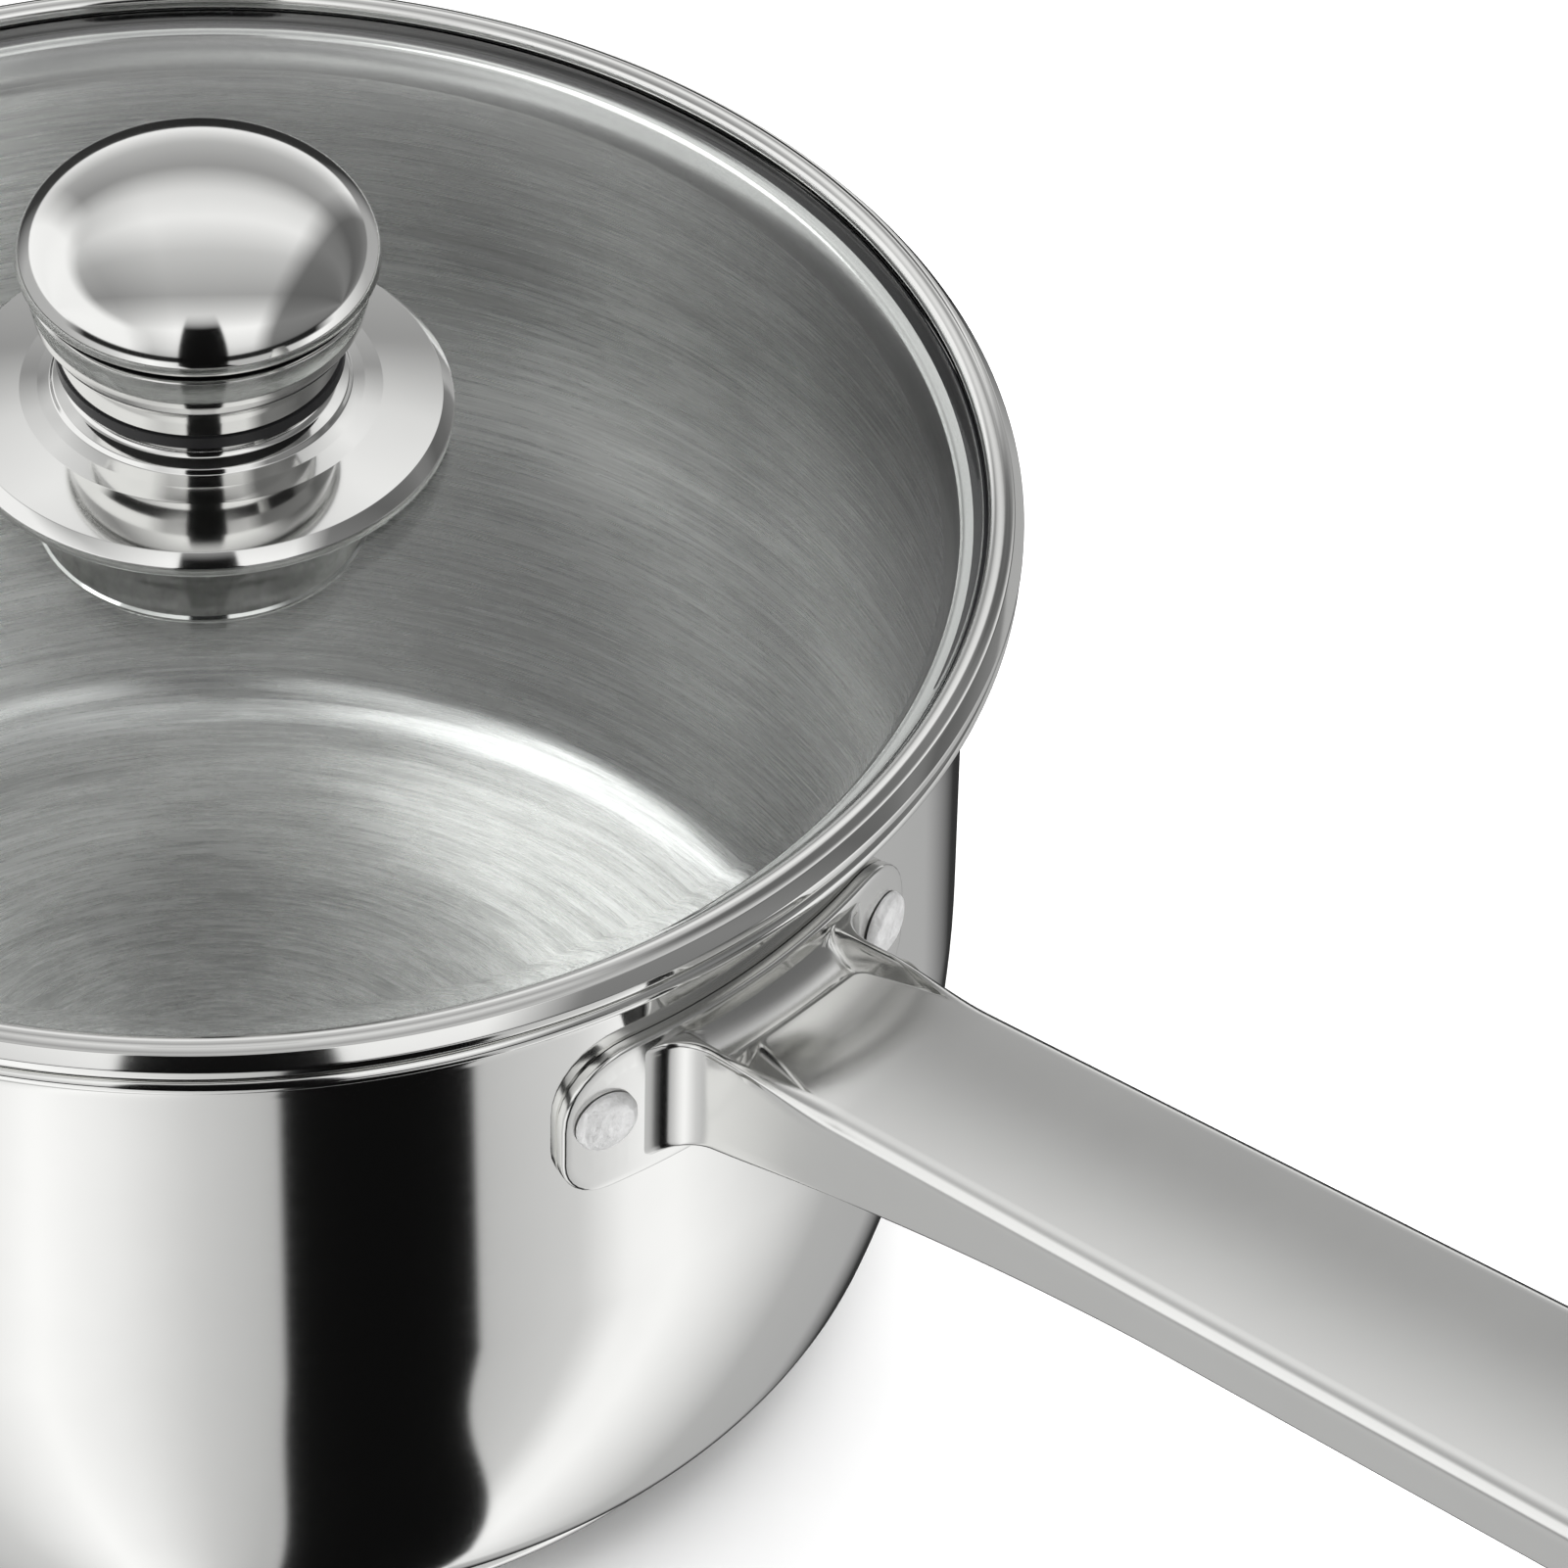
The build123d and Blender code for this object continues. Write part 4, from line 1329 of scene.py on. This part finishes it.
class SAUCEPAN_OT_inner_parts(bpy.types.Operator):
    """Give the CAD pieces that stay as they are their finishes"""

    bl_idname = "saucepan.inner_parts"
    bl_label = "Inner parts"

    def execute(self, context):
        chosen = {
            "base_core": "aluminium", "upper_seal": "seal", "lower_seal": "seal",
            "knob_boss": "black_plastic", "knob_insert": "brass", "spring_washer": "rivet_metal",
            "knob_screw": "rivet_metal",
        }
        for node, finish in chosen.items():
            piece = bpy.data.objects[node]
            for slot in piece.material_slots:
                slot.material = finish_for(finish)
        return {"FINISHED"}


# ---------------------------------------------------------------- stage


def studio_world(settings):
    """Surround for the mirror steel: light panels, a dark horizon and a dark strip by the camera."""
    world = bpy.data.worlds.new("studio")
    world.use_nodes = True
    graph = Graph(world.node_tree)
    graph.tree.nodes.clear()
    direction = graph.add("ShaderNodeTexCoord", None, None, "Generated")
    turned_way = graph.add(
        "ShaderNodeVectorRotate", {"rotation_type": "Z_AXIS"},
        {"Vector": direction, "Angle": -settings.azimuth},
    )
    split = graph.add("ShaderNodeSeparateXYZ", None, {0: turned_way}, None)
    towards, across, up = (Wire(graph, socket) for socket in split.outputs)
    side = across.do("ARCTAN2", towards) / math.pi
    # below the horizon the panels change with the side, above it with the height over the far side
    low = graph.ramp(side * 0.5 + 0.5, [
        (0.0, 0.02), (0.08, 0.04), (0.15, 0.42), (0.27, 0.45), (0.35, 0.62), (0.42, 1.0),
        (0.455, 0.84), (0.49, 0.60), (0.525, 0.46), (0.61, 0.48), (0.66, 0.62), (0.685, 0.92),
        (0.71, 0.96), (0.735, 0.84), (0.78, 0.62), (0.82, 0.42), (0.90, 0.38), (0.95, 0.03), (1.0, 0.02),
    ])
    over = up.do("ARCTAN2", 0.0 - towards) / math.pi
    high = graph.ramp(over, [
        (0.0, 0.85), (0.08, 0.45), (0.17, 0.30), (0.24, 0.72), (0.31, 0.85), (0.40, 0.55),
        (0.55, 0.36), (0.66, 0.70), (0.74, 0.95), (0.90, 0.75), (1.0, 0.5),
    ])
    left = graph.ramp(0.0 - across, [(0.0, 0.0), (0.2, 0.0), (0.6, 0.35)])
    high = graph.mix(left, high, (0.07, 0.07, 0.07, 1.0))
    beside = graph.ramp(0.0 - across, [(0.0, 0.0), (0.45, 0.0), (0.66, 0.9)])
    right = graph.ramp(across, [(0.0, 0.0), (0.50, 0.0), (0.66, 0.85)])
    high = graph.mix(right, high, (0.08, 0.08, 0.08, 1.0))
    middle_height = graph.ramp(up, [(0.0, 1.0), (0.54, 1.0), (0.66, 0.0)])
    high = graph.mix(beside * middle_height, high, (0.95, 0.95, 0.95, 1.0))
    above = graph.ramp(up * 0.5 + 0.5, [(0.0, 0.0), (0.475, 0.0), (0.485, 1.0)])
    panels = graph.mix(above, low, high)
    horizon = graph.ramp(up * 0.5 + 0.5, [
        (0.0, 0.0), (0.385, 0.0), (0.41, 1.0), (0.49, 1.0), (0.515, 0.0),
    ])
    near = graph.ramp(towards * 0.5 + 0.5, [(0.0, 0.0), (0.56, 0.0), (0.68, 1.0)])
    panels = graph.mix(horizon * near, panels, (0.015, 0.015, 0.015, 1.0))
    # the strip: nearly upright low down, spreading where the wall curves in, straight above the camera
    drop = ((-0.70 - up) / 0.26).do("MAXIMUM", 0.0)
    rise = ((up + 0.70) / 0.35).do("MAXIMUM", 0.0).do("MINIMUM", 1.0)
    first = 9.5 + drop ** 3.0 * 6.0 - rise * 22.0
    last = 40.5 + drop ** 3.3 * 40.0 - rise * 25.0
    middle = (first + last) * 0.5
    half = (last - first) * 0.5
    off = (side * 180.0 - middle).do("ABSOLUTE") - half
    strip = graph.ramp(off * 0.1 + 0.5, [(0.0, 1.0), (0.45, 1.0), (0.55, 0.0)])
    fade = graph.ramp(up * 0.5 + 0.5, [(0.0, 1.0), (0.87, 1.0), (0.95, 0.0)])
    level = graph.mix(strip * fade, panels, (0.004, 0.004, 0.004, 1.0))
    back = graph.add("ShaderNodeBackground", None, {"Color": level, "Strength": 1.2})
    out = graph.add("ShaderNodeOutputWorld", None, None, None)
    graph.tree.links.new(back.socket, out.inputs[0])
    return world


def area_light(name, place, aim, size, power):
    """A soft light that mirrors and glass don't show."""
    data = bpy.data.lights.new(name, "AREA")
    data.shape = "SQUARE"
    data.size = size
    data.energy = power
    lamp = bpy.data.objects.new(name, data)
    lamp.location = place
    lamp.rotation_euler = (Vector(aim) - Vector(place)).to_track_quat("-Z", "Y").to_euler()
    lamp.visible_glossy = False
    lamp.visible_transmission = False
    bpy.context.collection.objects.link(lamp)
    return lamp


def clear_from_below(finish):
    """Lets the floor be seen from above only."""
    back = finish.add("ShaderNodeNewGeometry", None, None, "Backfacing")
    empty = finish.add("ShaderNodeBsdfTransparent")
    mixed = finish.add(
        "ShaderNodeMixShader", None, {0: back, 1: Wire(finish, finish.shader.outputs[0]), 2: empty},
    )
    out = next(node for node in finish.tree.nodes if node.type == "OUTPUT_MATERIAL")
    finish.tree.links.new(mixed.socket, out.inputs[0])


class SAUCEPAN_OT_stage(bpy.types.Operator):
    """Make the floor, the light and the camera"""

    bl_idname = "saucepan.stage"
    bl_label = "Studio"

    def execute(self, context):
        scene = context.scene
        settings = scene.pan_stage
        scene.world = studio_world(settings)
        scene.view_settings.view_transform = "Standard"

        half = 6.0
        # a little under the base, so that the base is seen from below
        level = -0.3 * MM
        mesh = bpy.data.meshes.new("floor")
        corners = [(-half, -half, level), (half, -half, level), (half, half, level), (-half, half, level)]
        mesh.from_pydata(corners, [], [(0, 1, 2, 3)])
        floor = bpy.data.objects.new("floor", mesh)
        context.collection.objects.link(floor)
        finish = Finish("floor_paint", Roughness=0.9, Specular_IOR_Level=0.1)
        cloud = finish.noise(0.8, 2.0, 0.5)
        finish.feed(Base_Color=tinted(finish, cloud, scene.pan_finishes.floor, 0.995, 1.005))
        clear_from_below(finish)
        mesh.materials.append(finish.material)
        floor.visible_glossy = False

        middle = (0.0, 0.0, 0.05)
        area_light("overhead", (0.2, 0.2, 1.9), middle, 2.6, 80.0)
        area_light("window", (-1.2, -1.1, 1.2), middle, 1.4, 22.0)
        # this lamp lights only what is seen through the pane
        glow = area_light("through_glass", (-0.45, -0.50, 0.95), middle, 0.9, 4.6)
        glow.visible_transmission = True
        glow.visible_diffuse = False

        data = bpy.data.cameras.new("camera")
        data.lens = settings.lens
        data.sensor_width = 36.0
        data.clip_start = 0.05
        data.clip_end = 50.0
        camera = bpy.data.objects.new("camera", data)
        camera.location = (
            settings.distance * math.cos(settings.azimuth),
            settings.distance * math.sin(settings.azimuth),
            settings.height,
        )
        sight = Vector((
            math.cos(settings.look_down) * math.cos(settings.look_azimuth),
            math.cos(settings.look_down) * math.sin(settings.look_azimuth),
            -math.sin(settings.look_down),
        ))
        aim = sight.to_track_quat("-Z", "Y").to_matrix().to_4x4()
        camera.rotation_euler = (aim @ Matrix.Rotation(settings.roll, 4, "Z")).to_euler()
        context.collection.objects.link(camera)
        scene.camera = camera
        return {"FINISHED"}


STEPS = (
    SAUCEPAN_OT_pan, SAUCEPAN_OT_base, SAUCEPAN_OT_handle, SAUCEPAN_OT_handle_floor,
    SAUCEPAN_OT_eyelet, SAUCEPAN_OT_rivets, SAUCEPAN_OT_ring, SAUCEPAN_OT_seal, SAUCEPAN_OT_pane,
    SAUCEPAN_OT_knob_flange, SAUCEPAN_OT_knob_sleeve, SAUCEPAN_OT_knob_cap,
    SAUCEPAN_OT_knob_mouldings, SAUCEPAN_OT_glass_cup, SAUCEPAN_OT_inner_parts, SAUCEPAN_OT_stage,
)
GROUPS = {
    "pan_sizes": PanSizes, "pan_lid": LidSizes, "pan_knob": KnobSizes, "pan_handle": HandleSizes,
    "pan_finishes": Finishes, "pan_stage": StageSettings,
}


class SAUCEPAN_PT_panel(bpy.types.Panel):
    """Lists the steps that build the saucepan"""

    bl_label = "Saucepan"
    bl_space_type = "VIEW_3D"
    bl_region_type = "UI"
    bl_category = "Saucepan"

    def draw(self, context):
        for step in STEPS:
            self.layout.operator(step.bl_idname)


def register():
    """Adds the classes and the scene's settings."""
    for group in GROUPS.values():
        bpy.utils.register_class(group)
    for step in (*STEPS, SAUCEPAN_PT_panel):
        bpy.utils.register_class(step)
    for name, group in GROUPS.items():
        setattr(bpy.types.Scene, name, PointerProperty(type=group))


def unregister():
    """Takes them away again."""
    for name in GROUPS:
        delattr(bpy.types.Scene, name)
    for step in (*STEPS, SAUCEPAN_PT_panel):
        bpy.utils.unregister_class(step)
    for group in GROUPS.values():
        bpy.utils.unregister_class(group)


def main():
    """Builds everything in order."""
    register()
    for step in STEPS:
        area, name = step.bl_idname.split(".")
        getattr(getattr(bpy.ops, area), name)()


if __name__ == "__main__":
    main()
